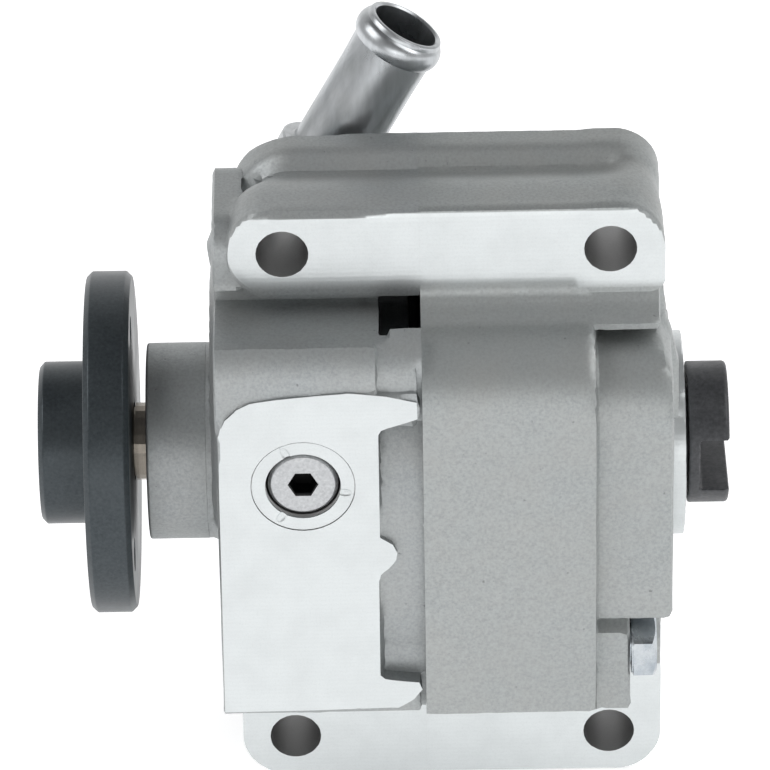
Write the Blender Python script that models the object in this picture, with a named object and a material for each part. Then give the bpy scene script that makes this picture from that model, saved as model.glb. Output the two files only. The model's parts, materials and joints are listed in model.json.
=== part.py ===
"""Belt-driven vane pump for hydraulic steering, with a slotted drive dog at its rear end.

All driving dimensions are in millimetres and are turned into metres when a mesh is made.
X runs along the shaft from the front face of the drive hub to the rear, Z is up, and the
machined pad and the lug faces look along -Y. The origin is on the shaft axis, in the plane
of the hub's front face.
"""
import math

import bmesh
import bpy
from mathutils import Matrix, Vector

MM = 0.001
GAP = 0.3  # clearance between neighbouring pieces

# ---------------------------------------------------------------- drive line
HUB_BOSS_R, HUB_BOSS_END = 16.3, 9.8
HUB_FLANGE_R, HUB_FLANGE_END = 34.3, 18.8
HUB_BORE_R = 7.3
HUB_HOLE_R, HUB_HOLE_PCR = 3.4, 25.5

SHAFT_SEAT_R = 7.0
SHAFT_NECK_R = 7.8
SHAFT_R = 8.2
SPLINE_R, SPLINE_ROOT_R, SPLINE_TEETH = 8.2, 7.4, 12
REAR_JOURNAL_R = 7.2
DOG_SEAT_R = 6.0
SHAFT_END = 128.0

DOG_R, DOG_SLEEVE_R = 14.2, 8.9
DOG_BASE_X0, DOG_BASE_X1, DOG_END = 129.5, 131.7, 137.6
DOG_SLOT = 11.4

# ---------------------------------------------------------------- front bearing
BEARING_X0, BEARING_X1 = 25.3, 35.3
BEARING_OUT_R, BEARING_IN_R = 17.5, 8.5
BALL_R, BALL_PCR, BALL_COUNT = 2.35, 13.0, 9
RACE_IN_TOP_R, RACE_OUT_LOW_R = 11.3, 14.7

# ---------------------------------------------------------------- castings
NOSE_R, NOSE_X0 = 19.7, 21.6
FRONT_X0, SEAM_X, REAR_X0 = 36.0, 76.2, 76.5
PAD_Y, PAD_BOTTOM = -40.0, -39.5
FRONT_TOP = 46.5
REAR_Y, REAR_BOTTOM, REAR_TOP = -41.0, -40.3, 42.8
BODY_BACK = 36.0
BLOCK_END_X, WEB_END_X = 110.2, 117.0
DISC_R, DISC_Y, DISC_Z, DISC_END_X = 33.0, -3.0, -2.0, 125.6
SPIGOT_R, SPIGOT_END_X = 20.5, 128.6
RECESS_R = 39.0

LUG_FACE_Y, LUG_BACK_Y = -23.0, 8.5
LUG_X0, LUG_X1 = 39.4, 123.4
BAR_HIGH = 66.3
FLANGE_LOW, FLANGE_HIGH = -66.2, -25.0
REAR_NECK_TOP = 45.2
ROOT_LOW = PAD_BOTTOM - 0.8
LUG_HOLE_R = 5.1
LUG_HOLES = [(49.7, 56.8), (113.3, 56.8), (49.9, -56.8), (113.3, -56.8)]

BOLTS = [(-30.5, -30.0), (28.0, -30.0), (28.0, 30.0), (-3.0, 40.0)]
BOLT_R, BOLT_HEAD_AF, BOLT_HEAD_H, BOLT_TIP_X = 4.0, 13.0, 5.3, 60.0

# ---------------------------------------------------------------- pump cartridge
CHAMBER_R, CHAMBER_END_X = 31.0, 110.0
CART_R = 30.7
PLATE_F = (76.8, 82.8)
CAM = (83.1, 101.1)
PLATE_R = (101.4, 107.4)
ROTOR = (83.4, 100.8)
ROTOR_R = 21.0
CAM_MEAN_R, CAM_LIFT = 23.0, 1.6
VANE_COUNT, VANE_T, VANE_SLOT_T = 10, 1.4, 2.0
VANE_R0, VANE_R1, SLOT_R0 = 12.3, 20.5, 11.5
DOWEL_R, DOWEL_PCR = 1.8, 26.6
PORT_SUCTION, PORT_PRESSURE = (52.0, 232.0), (135.0, 315.0)

# ---------------------------------------------------------------- flow valve
VALVE_X, VALVE_Z, VALVE_BORE_R, VALVE_END_Y = 52.9, 14.2, 7.3, -10.0
PLUG_R, PLUG_END_Y, HEX_AF, HEX_DEPTH = 7.0, -33.6, 6.0, 4.6
SPOOL_R, SPOOL_Y0, SPOOL_Y1 = 7.0, -21.4, -10.6
OUTLET_Y, OUTLET_R, OUTLET_DEPTH = -30.8, 7.2, 13.0

# ---------------------------------------------------------------- inlet pipe
PIPE_MOUTH = Vector((74.7, 21.0, 82.8))
PIPE_DIR = Vector((0.49, 0.05, 0.87)).normalized()
PIPE_R, PIPE_BORE_R = 8.0, 6.6
PIPE_TAIL, COLLAR_LOW, COLLAR_HIGH, COLLAR_R = -45.5, -34.9, -32.1, 10.4
BEAD_T, BEAD_R = -3.4, 9.1
BOSS_R = 10.9

for old in list(bpy.data.objects):
    bpy.data.objects.remove(old, do_unlink=True)

SCENE = bpy.context.scene.collection


# ---------------------------------------------------------------- helpers
def material(name, colour, rough, metal):
    m = bpy.data.materials.get(name)
    if m is None:
        m = bpy.data.materials.new(name)
        m.use_nodes = True
        p = m.node_tree.nodes["Principled BSDF"]
        p.inputs["Base Color"].default_value = (*colour, 1.0)
        p.inputs["Roughness"].default_value = rough
        p.inputs["Metallic"].default_value = metal
    return m


def mesh_object(name, bm):
    """An object made of a bmesh, with its faces pointing out."""
    bmesh.ops.recalc_face_normals(bm, faces=bm.faces[:])
    me = bpy.data.meshes.new(name)
    bm.to_mesh(me)
    bm.free()
    ob = bpy.data.objects.new(name, me)
    SCENE.objects.link(ob)
    return ob


def ring(bm, pts):
    return [bm.verts.new(p) for p in pts]


def skin(bm, rings, closed=False):
    """Quads between rings of equal length, with caps at the two ends unless closed."""
    n = len(rings)
    for i in range(n if closed else n - 1):
        a, b = rings[i], rings[(i + 1) % n]
        for k in range(len(a)):
            j = (k + 1) % len(a)
            bm.faces.new((a[k], a[j], b[j], b[k]))
    if not closed:
        bm.faces.new(rings[0])
        bm.faces.new(rings[-1])


def turned_bm(profile, n, closed=False):
    """A section (x, r) turned about X. Points with r = 0 lie on the axis."""
    bm = bmesh.new()
    rings = []
    for x, r in profile:
        if r <= 0.0:
            rings.append([bm.verts.new((x * MM, 0, 0))])
        else:
            rings.append(
                [
                    bm.verts.new((x * MM, r * MM * math.cos(t), r * MM * math.sin(t)))
                    for t in (2 * math.pi * k / n for k in range(n))
                ]
            )
    m = len(rings)
    for i in range(m if closed else m - 1):
        a, b = rings[i], rings[(i + 1) % m]
        for k in range(n):
            j = (k + 1) % n
            if len(a) == 1 and len(b) == 1:
                continue
            if len(a) == 1:
                bm.faces.new((a[0], b[j], b[k]))
            elif len(b) == 1:
                bm.faces.new((a[k], a[j], b[0]))
            else:
                bm.faces.new((a[k], a[j], b[j], b[k]))
    if not closed:
        for end in (rings[0], rings[-1]):
            if len(end) > 1:
                bm.faces.new(end)
    return bm


def turned(name, profile, n, closed=False):
    return mesh_object(name, turned_bm(profile, n, closed))


def axis_point(axis, u, v, w):
    """A point with (u, v) in the section plane and w along the axis."""
    return {
        "X": (w * MM, u * MM, v * MM),
        "Y": (u * MM, w * MM, v * MM),
        "Z": (u * MM, v * MM, w * MM),
    }[axis]


def loft(name, axis, stations):
    """A solid through sections [(position along the axis, [(u, v), ...]), ...]."""
    bm = bmesh.new()
    skin(bm, [ring(bm, [axis_point(axis, u, v, w) for u, v in pts]) for w, pts in stations])
    return mesh_object(name, bm)


def prism(name, axis, pts, w0, w1):
    return loft(name, axis, [(w0, pts), (w1, pts)])


def box(name, lo, hi):
    pts = [(lo[1], lo[2]), (hi[1], lo[2]), (hi[1], hi[2]), (lo[1], hi[2])]
    return prism(name, "X", pts, lo[0], hi[0])


def circle(r, n, u=0.0, v=0.0, phase=0.0):
    return [
        (u + r * math.cos(t), v + r * math.sin(t))
        for t in (phase + 2 * math.pi * k / n for k in range(n))
    ]


def rounded(corners, seg=5):
    """A polygon (u, v, radius) with its corners rounded; a radius of 0 stays sharp but keeps the point count."""
    out = []
    n = len(corners)
    for i in range(n):
        p = Vector(corners[i][:2])
        a = (Vector(corners[i - 1][:2]) - p).normalized()
        b = (Vector(corners[(i + 1) % n][:2]) - p).normalized()
        r = corners[i][2]
        if r <= 0:
            out.append((p.x, p.y))
            continue
        half = math.acos(max(-1.0, min(1.0, a.dot(b)))) / 2
        d = r / math.tan(half)
        c = p + (a + b).normalized() * (r / math.sin(half))
        s, e = p + a * d - c, p + b * d - c
        turn = math.atan2(s.x * e.y - s.y * e.x, s.dot(e))
        for k in range(seg + 1):
            t = turn * k / seg
            q = Vector((s.x * math.cos(t) - s.y * math.sin(t), s.x * math.sin(t) + s.y * math.cos(t)))
            out.append((c.x + q.x, c.y + q.y))
    return out


def rect(u0, u1, v0, v1, r, inset=0.0, seg=5):
    """A rounded rectangle; r lists the radii at (u0,v0), (u1,v0), (u1,v1), (u0,v1)."""
    i = inset
    rr = [max(q - i, 0.05) if q > 0 else 0 for q in r]
    return rounded(
        [(u0 + i, v0 + i, rr[0]), (u1 - i, v0 + i, rr[1]), (u1 - i, v1 - i, rr[2]), (u0 + i, v1 - i, rr[3])],
        seg,
    )


def apply_boolean(ob, other, operation):
    m = ob.modifiers.new(operation, "BOOLEAN")
    m.operation = operation
    m.solver = "EXACT"
    m.object = other
    dg = bpy.context.evaluated_depsgraph_get()
    me = bpy.data.meshes.new_from_object(ob.evaluated_get(dg))
    old = ob.data
    ob.modifiers.clear()
    ob.data = me
    me.name = ob.name
    bpy.data.meshes.remove(old)
    gone = other.data
    bpy.data.objects.remove(other, do_unlink=True)
    bpy.data.meshes.remove(gone)


def add(ob, *others):
    for o in others:
        apply_boolean(ob, o, "UNION")


def cut(ob, *others):
    for o in others:
        apply_boolean(ob, o, "DIFFERENCE")


def cylinder(name, axis, r, w0, w1, u=0.0, v=0.0, n=20, phase=0.11):
    return prism(name, axis, circle(r, n, u, v, phase), w0, w1)


def along(ob, origin, direction):
    """Moves a piece made about X so that its X axis runs from origin along direction."""
    rot = Vector((1, 0, 0)).rotation_difference(direction).to_matrix().to_4x4()
    ob.data.transform(Matrix.Translation(Vector(origin) * MM) @ rot)
    ob.data.update()
    return ob


def finish(ob, slot, parent=None, angle=35.0):
    """Cleans the mesh, shades it and gives it its material and its parent."""
    bm = bmesh.new()
    bm.from_mesh(ob.data)
    bmesh.ops.remove_doubles(bm, verts=bm.verts[:], dist=1e-6)
    bm.to_mesh(ob.data)
    bm.free()
    ob.data.materials.clear()
    ob.data.materials.append(material(slot, *SLOTS[slot]))
    ob.data.shade_smooth()
    ob.data.set_sharp_from_angle(angle=math.radians(angle))
    ob.parent = parent
    return ob


def placed(ob, parent, location, rotation=(0, 0, 0)):
    ob.parent = parent
    ob.location = Vector(location) * MM
    ob.rotation_euler = rotation
    return ob


def empty(name, location=(0, 0, 0)):
    e = bpy.data.objects.new(name, None)
    e.location = Vector(location) * MM
    e.empty_display_size = 0.01
    SCENE.objects.link(e)
    return e


SLOTS = {
    "cast_front": ((0.52, 0.53, 0.54), 0.55, 0.9),
    "cast_rear": ((0.50, 0.51, 0.51), 0.6, 0.9),
    "hub_steel": ((0.045, 0.055, 0.06), 0.35, 0.6),
    "shaft_steel": ((0.45, 0.42, 0.38), 0.25, 1.0),
    "dog_steel": ((0.012, 0.013, 0.016), 0.5, 0.3),
    "plated_steel": ((0.62, 0.64, 0.66), 0.22, 1.0),
    "plug_steel": ((0.42, 0.43, 0.44), 0.35, 1.0),
    "bearing_steel": ((0.6, 0.6, 0.61), 0.15, 1.0),
    "bolt_zinc": ((0.66, 0.69, 0.72), 0.25, 1.0),
    "ground_steel": ((0.5, 0.5, 0.51), 0.25, 1.0),
    "spring_steel": ((0.3, 0.3, 0.31), 0.3, 1.0),
    "bronze": ((0.55, 0.38, 0.2), 0.35, 1.0),
    "seal_rubber": ((0.02, 0.02, 0.02), 0.6, 0.0),
    "cage_brass": ((0.6, 0.5, 0.3), 0.35, 1.0),
}

pump = empty("pump")
shaft_axis = empty("shaft_axis")
shaft_axis.parent = pump
cage_axis = empty("cage_axis", ((BEARING_X0 + BEARING_X1) / 2, 0, 0))
cage_axis.parent = pump
valve_axis = empty("valve_axis", (VALVE_X, 0, VALVE_Z))
valve_axis.parent = pump


# ---------------------------------------------------------------- lug bars
def bar(name, x0, x1, z0, z1, r):
    """One casting's share of a lug bar: full width at both faces, with a shallow valley round its rim at mid depth."""
    seam0, seam1 = x0 in (SEAM_X, REAR_X0), x1 in (SEAM_X, REAR_X0)

    def section(i):
        rr = [max(q - i, 0.05) if q > 0 else 0 for q in r]
        a, b = x0 + (0 if seam0 else i), x1 - (0 if seam1 else i)
        return rounded([(a, z0 + i, rr[0]), (b, z0 + i, rr[1]), (b, z1 - i, rr[2]), (a, z1 - i, rr[3])], 5)

    return loft(
        name,
        "Y",
        [
            (LUG_FACE_Y, section(0)),
            (-11.5, section(0)),
            (-6.6, section(1.7)),
            (-5.4, section(1.7)),
            (0.5, section(0)),
            (LUG_BACK_Y, section(0)),
        ],
    )


def lug_hole(x, z):
    return cylinder("cutter", "Y", LUG_HOLE_R, LUG_FACE_Y - 2, LUG_BACK_Y + 2, x, z, 16)


# ---------------------------------------------------------------- front housing
front = loft(
    "front_housing",
    "X",
    [
        (FRONT_X0, rect(PAD_Y, BODY_BACK, PAD_BOTTOM, FRONT_TOP, (1.5, 14, 14, 12), 0.7, 5)),
        (FRONT_X0 + 0.7, rect(PAD_Y, BODY_BACK, PAD_BOTTOM, FRONT_TOP, (1.5, 14, 14, 12), 0.0, 5)),
        (SEAM_X, rect(PAD_Y, BODY_BACK, PAD_BOTTOM, FRONT_TOP, (1.5, 14, 14, 12), 0.0, 5)),
    ],
)
# recess beside the pad, down to a cylinder about the shaft, with an ear above and below it
recess = prism(
    "cutter",
    "Y",
    rounded([(68.1, -32.6, 2.5), (78.0, -32.6, 0), (78.0, 27.0, 0), (68.1, 27.0, 2.5)], 4),
    -45.0,
    -18.0,
)
cut(recess, cylinder("core", "X", RECESS_R, 60, 80, n=44))
cut(front, recess)
for z0, z1 in ((-39.5, -32.6), (27.0, 34.0)):
    # the ears stop short of the seam at the pad's face
    cut(front, box("cutter", (75.4, -45.0, z0 - 8 if z0 < 0 else z0 - 1), (78.0, -37.5, z1 + 1 if z0 < 0 else z1 + 8)))
# small land where the pad's plane grazes the cylinder
add(front, prism("tab", "Y", rounded([(66.0, -6.9, 0), (71.6, -6.9, 2.4), (71.6, 0.7, 2.4), (66.0, 0.7, 0)], 4), PAD_Y, -36.0))
# boss for the lower front housing bolt, seen in the recess
add(front, cylinder("boss", "X", 7.2, 58.0, SEAM_X, *BOLTS[0], n=14))
# deep pocket under the bar, next to the seam
cut(front, box("cutter", (67.6, -31.5, 37.0), (75.4, -6.0, 49.0)))
# shaft nose and the raised round land beside it
add(front, turned("nose", [(NOSE_X0, 0), (NOSE_X0, NOSE_R - 0.7), (NOSE_X0 + 0.7, NOSE_R), (40.0, NOSE_R), (40.0, 0)], 32))
add(front, cylinder("land", "X", 11.5, 34.8, 38.0, -4.0, 15.0, n=18))
# inlet boss
# root of the lower lug, proud of the port's face
add(front, box("root", (LUG_X0, LUG_FACE_Y, ROOT_LOW), (SEAM_X, LUG_BACK_Y, PAD_BOTTOM + 1.0)))
boss = turned("boss", [(-52.0, 0), (-52.0, BOSS_R), (COLLAR_LOW - GAP, BOSS_R), (COLLAR_LOW - GAP, 0)], 18)
add(front, along(boss, PIPE_MOUTH, PIPE_DIR))
# pipe socket with its seal groove, then the suction passage
cut(
    front,
    along(
        turned(
            "cutter",
            [
                (-66.0, 0),
                (-66.0, 5.6),
                (-46.5, 5.6),
                (-46.5, PIPE_R + GAP),
                (-44.6, PIPE_R + GAP),
                (-44.6, 10.4),
                (-41.8, 10.4),
                (-41.8, PIPE_R + GAP),
                (-20.0, PIPE_R + GAP),
                (-20.0, 0),
            ],
            16,
        ),
        PIPE_MOUTH,
        PIPE_DIR,
    ),
)
SUCTION_YZ = (27.5 * math.cos(math.radians(PORT_SUCTION[0])), 27.5 * math.sin(math.radians(PORT_SUCTION[0])))
cut(front, cylinder("cutter", "X", 4.2, 41.0, 78.0, *SUCTION_YZ, n=12))
# bores about the shaft: bearing seat with circlip groove, seal seat, shaft passage
cut(
    front,
    turned(
        "cutter",
        [
            (18.0, 0),
            (18.0, BEARING_OUT_R + GAP),
            (23.4, BEARING_OUT_R + GAP),
            (23.4, 18.75),
            (25.0, 18.75),
            (25.0, BEARING_OUT_R + GAP),
            (35.7, BEARING_OUT_R + GAP),
            (35.7, 13.3),
            (44.0, 13.3),
            (44.0, 9.4),
            (70.0, 9.4),
            (70.0, 12.5),
            (80.0, 12.5),
            (80.0, 0),
        ],
        28,
    ),
)
# face groove for the housing seal ring
cut(front, turned("cutter", [(74.0, 32.2), (78.0, 32.2), (78.0, 35.0), (74.0, 35.0)], 24, closed=True))
# valve bore with its countersink and spot face, pressure and outlet passages, outlet port
valve_bore = [(-46.0, 0), (-46.0, 10.2), (-39.5, 10.2), (-39.5, 8.3), (-38.6, VALVE_BORE_R), (VALVE_END_Y, VALVE_BORE_R), (VALVE_END_Y, 0)]
valve_cutter = turned("cutter", valve_bore, 20)
valve_cutter.data.transform(Matrix.Translation(Vector((VALVE_X, 0, VALVE_Z)) * MM) @ Matrix.Rotation(math.pi / 2, 4, "Z"))
cut(
    front,
    valve_cutter,
    cylinder("cutter", "X", 3.0, 54.0, 78.0, -16.0, 16.0, n=12),
    cylinder("cutter", "Z", 3.0, -41.0, 9.0, VALVE_X, OUTLET_Y, n=12),
    cylinder("cutter", "Z", OUTLET_R, PAD_BOTTOM - 2, PAD_BOTTOM + OUTLET_DEPTH, VALVE_X, OUTLET_Y, n=16),
)
cut(front, *[cylinder("cutter", "X", BOLT_R + GAP, BOLT_TIP_X - 1.0, 78.0, y, z, n=12) for y, z in BOLTS])
finish(front, "cast_front", pump)

# front halves of the lug bars, with the raised end wall that carries the upper bar's rounded end
upper = bar("front_upper_lug", LUG_X0, SEAM_X, FRONT_TOP + GAP, BAR_HIGH, (9.4, 0, 0, 9.0))
add(upper, prism("wall", "X", rect(-21.0, LUG_BACK_Y - 0.4, FRONT_TOP + GAP + 0.2, 61.2, (0, 0, 6.5, 6.5), 0, 5), 36.0, 41.6))
add(upper, box("neck", (40.5, -12.0, FRONT_TOP + GAP + 0.3), (SEAM_X - 0.02, LUG_BACK_Y - 0.8, 58.0)))
cut(upper, along(turned("cutter", [(-60.0, 0), (-60.0, BOSS_R + GAP), (-12.0, BOSS_R + GAP), (-12.0, 0)], 18), PIPE_MOUTH, PIPE_DIR))
cut(upper, lug_hole(*LUG_HOLES[0]))
finish(upper, "cast_front", pump)
lower = bar("front_lower_lug", LUG_X0, SEAM_X, FLANGE_LOW, ROOT_LOW - GAP, (9.4, 0, 0, 0))
cut(lower, lug_hole(*LUG_HOLES[2]))
finish(lower, "cast_front", pump)

# ---------------------------------------------------------------- rear housing
RADII = (1.5, 14, 16, 16)


def block(x, inset):
    return (x, rect(REAR_Y, BODY_BACK, REAR_BOTTOM, REAR_TOP, RADII, inset, 5))


EDGE = 2.9
rear = loft(
    "rear_housing",
    "X",
    [block(REAR_X0, 0.0)]
    + [
        block(BLOCK_END_X - EDGE + EDGE * math.sin(t), EDGE * (1 - math.cos(t)))
        for t in (math.radians(a) for a in (0, 30, 60, 85))
    ],
)
WEB = rounded([(-37.0, REAR_BOTTOM + 0.4, 1.5), (BODY_BACK - 0.4, REAR_BOTTOM + 0.4, 14), (BODY_BACK - 0.4, 40.0, 15), (-12.5, 40.0, 3), (-12.5, -22.0, 0), (-37.0, -22.0, 1.5)], 5)
add(rear, prism("web", "X", WEB, 100.0, WEB_END_X))
add(rear, prism("toe", "X", [(-40.6, -39.9), (-40.6, -38.2), (-38.6, -35.4), (-36.0, -33.6), (-30.0, -33.0), (-30.0, -39.9)], 104.0, WEB_END_X - 0.02))
disc = turned(
    "disc",
    [(100.0, 0), (100.0, DISC_R), (DISC_END_X - 1.8, DISC_R), (DISC_END_X - 0.6, DISC_R - 0.5), (DISC_END_X, DISC_R - 1.8), (DISC_END_X, 0)],
    40,
)
disc.data.transform(Matrix.Translation(Vector((0, DISC_Y, DISC_Z)) * MM))
add(rear, disc)
# the boss is flat in front, with a rounded shoulder under the ledge
add(rear, prism("boss_front", "X", rounded([(-36.0, -20.6, 1.0), (-12.0, -20.6, 0), (-12.0, 36.0, 0), (-36.0, 36.0, 15.0)], 5), 100.0, DISC_END_X - 0.05))
add(rear, box("neck", (REAR_X0, -12.0, 26.0), (WEB_END_X - 0.05, LUG_BACK_Y - 0.8, REAR_NECK_TOP)))
# ledge that flares forward under the upper lug
add(rear, prism("ledge", "X", [(-24.2, 45.0), (-27.4, 42.6), (-27.1, 41.0), (-11.2, 38.6), (-11.2, 45.0)], REAR_X0, 122.6))
add(rear, bar("flange_root", REAR_X0, LUG_X1, REAR_BOTTOM + 0.05, FLANGE_HIGH, (0, 0, 2.0, 0)))
add(rear, turned("spigot", [(115.0, 0), (115.0, SPIGOT_R), (SPIGOT_END_X - 0.6, SPIGOT_R), (SPIGOT_END_X, SPIGOT_R - 0.6), (SPIGOT_END_X, 0)], 36))
# thin rib from the boss up to the bar's end
add(rear, prism("rib", "Y", [(112.0, 12.0), (127.2, 12.0), (127.2, 26.0), (126.2, 30.0), (125.2, 33.0), (124.5, 36.0), (124.0, 42.5), (123.6, REAR_NECK_TOP - 0.05), (112.0, REAR_NECK_TOP - 0.05)], -16.0, -12.3))
add(rear, box("tie", (112.2, -13.0, 27.0), (WEB_END_X - 0.1, -11.0, REAR_NECK_TOP - 0.1)))
# spot faces for two of the bolt heads
cut(rear, *[cylinder("cutter", "X", 8.4, WEB_END_X, 130.0, *BOLTS[i], n=18) for i in (0, 3)])
cut(
    rear,
    turned(
        "cutter",
        [
            (70.0, 0),
            (70.0, CHAMBER_R),
            (CHAMBER_END_X, CHAMBER_R),
            (CHAMBER_END_X, 10.3),
            (120.4, 10.3),
            (120.4, 13.3),
            (135.0, 13.3),
            (135.0, 0),
        ],
        36,
    ),
)
cut(rear, *[cylinder("cutter", "X", BOLT_R + GAP, 70.0, WEB_END_X + 1, y, z, n=12) for y, z in BOLTS])
finish(rear, "cast_rear", pump)

# rear halves of the lug bars
upper = bar("rear_upper_lug", REAR_X0, LUG_X1, REAR_NECK_TOP + GAP, BAR_HIGH, (0, 3.0, 9.0, 0))
cut(upper, cylinder("cutter", "X", 8.4, WEB_END_X, 130.0, *BOLTS[3], n=18))
cut(upper, lug_hole(*LUG_HOLES[1]))
finish(upper, "cast_rear", pump)
lower = bar("rear_lower_lug", REAR_X0, LUG_X1, FLANGE_LOW, REAR_BOTTOM - GAP, (0, 9.4, 0, 0))
cut(lower, lug_hole(*LUG_HOLES[3]))
finish(lower, "cast_rear", pump)

# ---------------------------------------------------------------- housing bolts
for i, (y, z) in enumerate(BOLTS):
    b = prism("housing_bolt_%d" % (i + 1), "X", circle(BOLT_HEAD_AF / 2 / math.cos(math.pi / 6), 6, 0, 0, math.pi / 6), GAP, GAP + BOLT_HEAD_H)
    add(b, turned("shank", [(BOLT_TIP_X - WEB_END_X, 0), (BOLT_TIP_X - WEB_END_X, BOLT_R - 0.8), (BOLT_TIP_X - WEB_END_X + 0.8, BOLT_R), (GAP + 1.0, BOLT_R), (GAP + 1.0, 0)], 12))
    finish(b, "bolt_zinc")
    placed(b, pump, (WEB_END_X, y, z))

# ---------------------------------------------------------------- front seal, bearing, circlip
finish(
    turned(
        "shaft_seal",
        [(37.0, 8.8), (37.0, 13.0), (43.6, 13.0), (43.6, 11.9), (39.0, 11.9), (39.0, 10.2), (40.4, 8.6), (39.8, 8.5), (38.4, 8.7)],
        24,
        closed=True,
    ),
    "seal_rubber",
    pump,
)
BALL_X = (BEARING_X0 + BEARING_X1) / 2
GROOVE_R = BALL_R + GAP


def race(name, wall_r, land_r, sign, n):
    """A bearing race with a ball groove; sign is +1 where the groove faces out and -1 where it faces in."""
    half = math.acos(max(-1.0, min(1.0, abs(land_r - BALL_PCR) / GROOVE_R)))
    arc = []
    for k in range(5):
        t = -half + 2 * half * k / 4
        arc.append((BALL_X + GROOVE_R * math.sin(t), BALL_PCR - sign * GROOVE_R * math.cos(t)))
    pts = [(BEARING_X0, wall_r), (BEARING_X0, land_r)] + arc + [(BEARING_X1, land_r), (BEARING_X1, wall_r)]
    return turned(name, pts, n, closed=True)


finish(race("bearing_outer_race", BEARING_OUT_R, RACE_OUT_LOW_R, -1, 32), "bearing_steel", pump)
finish(race("bearing_inner_race", BEARING_IN_R, RACE_IN_TOP_R, 1, 28), "bearing_steel", shaft_axis)


def c_ring(name, r_in, r_out, x0, x1, gap_deg, n, centre_deg=270.0):
    """A snap ring: a flat ring with a gap."""
    a0 = math.radians(centre_deg + gap_deg / 2)
    span = math.radians(360 - gap_deg)
    outer = [(r_out * math.cos(a0 + span * k / n), r_out * math.sin(a0 + span * k / n)) for k in range(n + 1)]
    inner = [(r_in * math.cos(a0 + span * k / n), r_in * math.sin(a0 + span * k / n)) for k in range(n + 1)]
    bm = bmesh.new()
    lo = [[bm.verts.new((x0 * MM, y * MM, z * MM)) for y, z in pts] for pts in (outer, inner)]
    hi = [[bm.verts.new((x1 * MM, y * MM, z * MM)) for y, z in pts] for pts in (outer, inner)]
    for k in range(n):
        bm.faces.new((lo[0][k], lo[0][k + 1], lo[1][k + 1], lo[1][k]))
        bm.faces.new((hi[0][k], hi[0][k + 1], hi[1][k + 1], hi[1][k]))
        bm.faces.new((lo[0][k], lo[0][k + 1], hi[0][k + 1], hi[0][k]))
        bm.faces.new((lo[1][k], lo[1][k + 1], hi[1][k + 1], hi[1][k]))
    for k in (0, n):
        bm.faces.new((lo[0][k], lo[1][k], hi[1][k], hi[0][k]))
    return mesh_object(name, bm)


finish(c_ring("bearing_circlip", 15.4, 18.4, 23.7, 24.7, 40.0, 24), "spring_steel", pump)

# cage: a crown of fingers between the balls
cage = turned("bearing_cage", [(0.5, 11.8), (3.7, 11.8), (3.7, 14.2), (0.5, 14.2)], 36, closed=True)
for k in range(BALL_COUNT):
    t = 2 * math.pi * k / BALL_COUNT
    s = cylinder("cutter", "Y", GROOVE_R, BALL_PCR - 3.0, BALL_PCR + 3.0, n=12)
    s.data.transform(Matrix.Rotation(t, 4, "X"))
    cut(cage, s)
finish(cage, "cage_brass")
placed(cage, cage_axis, (0, 0, 0))
ball_mesh = None
for k in range(BALL_COUNT):
    name = "bearing_ball_%d" % (k + 1)
    t = 2 * math.pi * k / BALL_COUNT
    if ball_mesh is None:
        ball = turned(name, [(-BALL_R * math.cos(a), BALL_R * math.sin(a) if 0 < j < 6 else 0) for j, a in ((j, math.pi * j / 6) for j in range(7))], 9)
        finish(ball, "bearing_steel", None, 80.0)
        ball_mesh = ball.data
    else:
        ball = bpy.data.objects.new(name, ball_mesh)
        SCENE.objects.link(ball)
    placed(ball, cage_axis, (0, BALL_PCR * math.cos(t), BALL_PCR * math.sin(t)))

# ---------------------------------------------------------------- hub, shaft, dog
hub = turned(
    "drive_hub",
    [
        (0.0, HUB_BORE_R + 0.6),
        (0.0, HUB_BOSS_R - 1.6),
        (0.5, HUB_BOSS_R - 0.45),
        (1.7, HUB_BOSS_R),
        (HUB_BOSS_END, HUB_BOSS_R),
        (HUB_BOSS_END, HUB_FLANGE_R - 0.7),
        (HUB_BOSS_END + 0.7, HUB_FLANGE_R),
        (HUB_FLANGE_END - 0.7, HUB_FLANGE_R),
        (HUB_FLANGE_END, HUB_FLANGE_R - 0.7),
        (HUB_FLANGE_END, HUB_BORE_R),
        (0.6, HUB_BORE_R),
    ],
    48,
    closed=True,
)
for a in (90, 210, 330):
    t = math.radians(a)
    cut(hub, cylinder("cutter", "X", HUB_HOLE_R, 5.0, 22.0, HUB_HOLE_PCR * math.cos(t), HUB_HOLE_PCR * math.sin(t), n=14))
finish(hub, "hub_steel", shaft_axis)

shaft = turned(
    "drive_shaft",
    [
        (0.0, 0),
        (0.0, SHAFT_SEAT_R - 0.5),
        (0.5, SHAFT_SEAT_R),
        (HUB_FLANGE_END + 0.3, SHAFT_SEAT_R),
        (HUB_FLANGE_END + 0.3, SHAFT_NECK_R),
        (24.8, SHAFT_NECK_R),
        (24.8, SHAFT_R),
        (82.0, SHAFT_R),
        (82.0, 7.3),
        (83.2, 7.3),
        (83.2, SPLINE_ROOT_R - 0.3),
        (101.2, SPLINE_ROOT_R - 0.3),
        (101.2, REAR_JOURNAL_R),
        (118.8, REAR_JOURNAL_R),
        (118.8, DOG_SEAT_R),
        (SHAFT_END - 0.5, DOG_SEAT_R),
        (SHAFT_END, DOG_SEAT_R - 0.5),
        (SHAFT_END, 0),
    ],
    26,
)


def spline(grow):
    pts = []
    for k in range(SPLINE_TEETH):
        for frac, r in ((0.0, SPLINE_ROOT_R), (0.22, SPLINE_R), (0.5, SPLINE_R), (0.72, SPLINE_ROOT_R)):
            t = 2 * math.pi * (k + frac) / SPLINE_TEETH
            wide = grow / r * (-1 if frac < 0.3 else 1) * 0.6
            pts.append(((r + grow) * math.cos(t + wide), (r + grow) * math.sin(t + wide)))
    return pts


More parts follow.
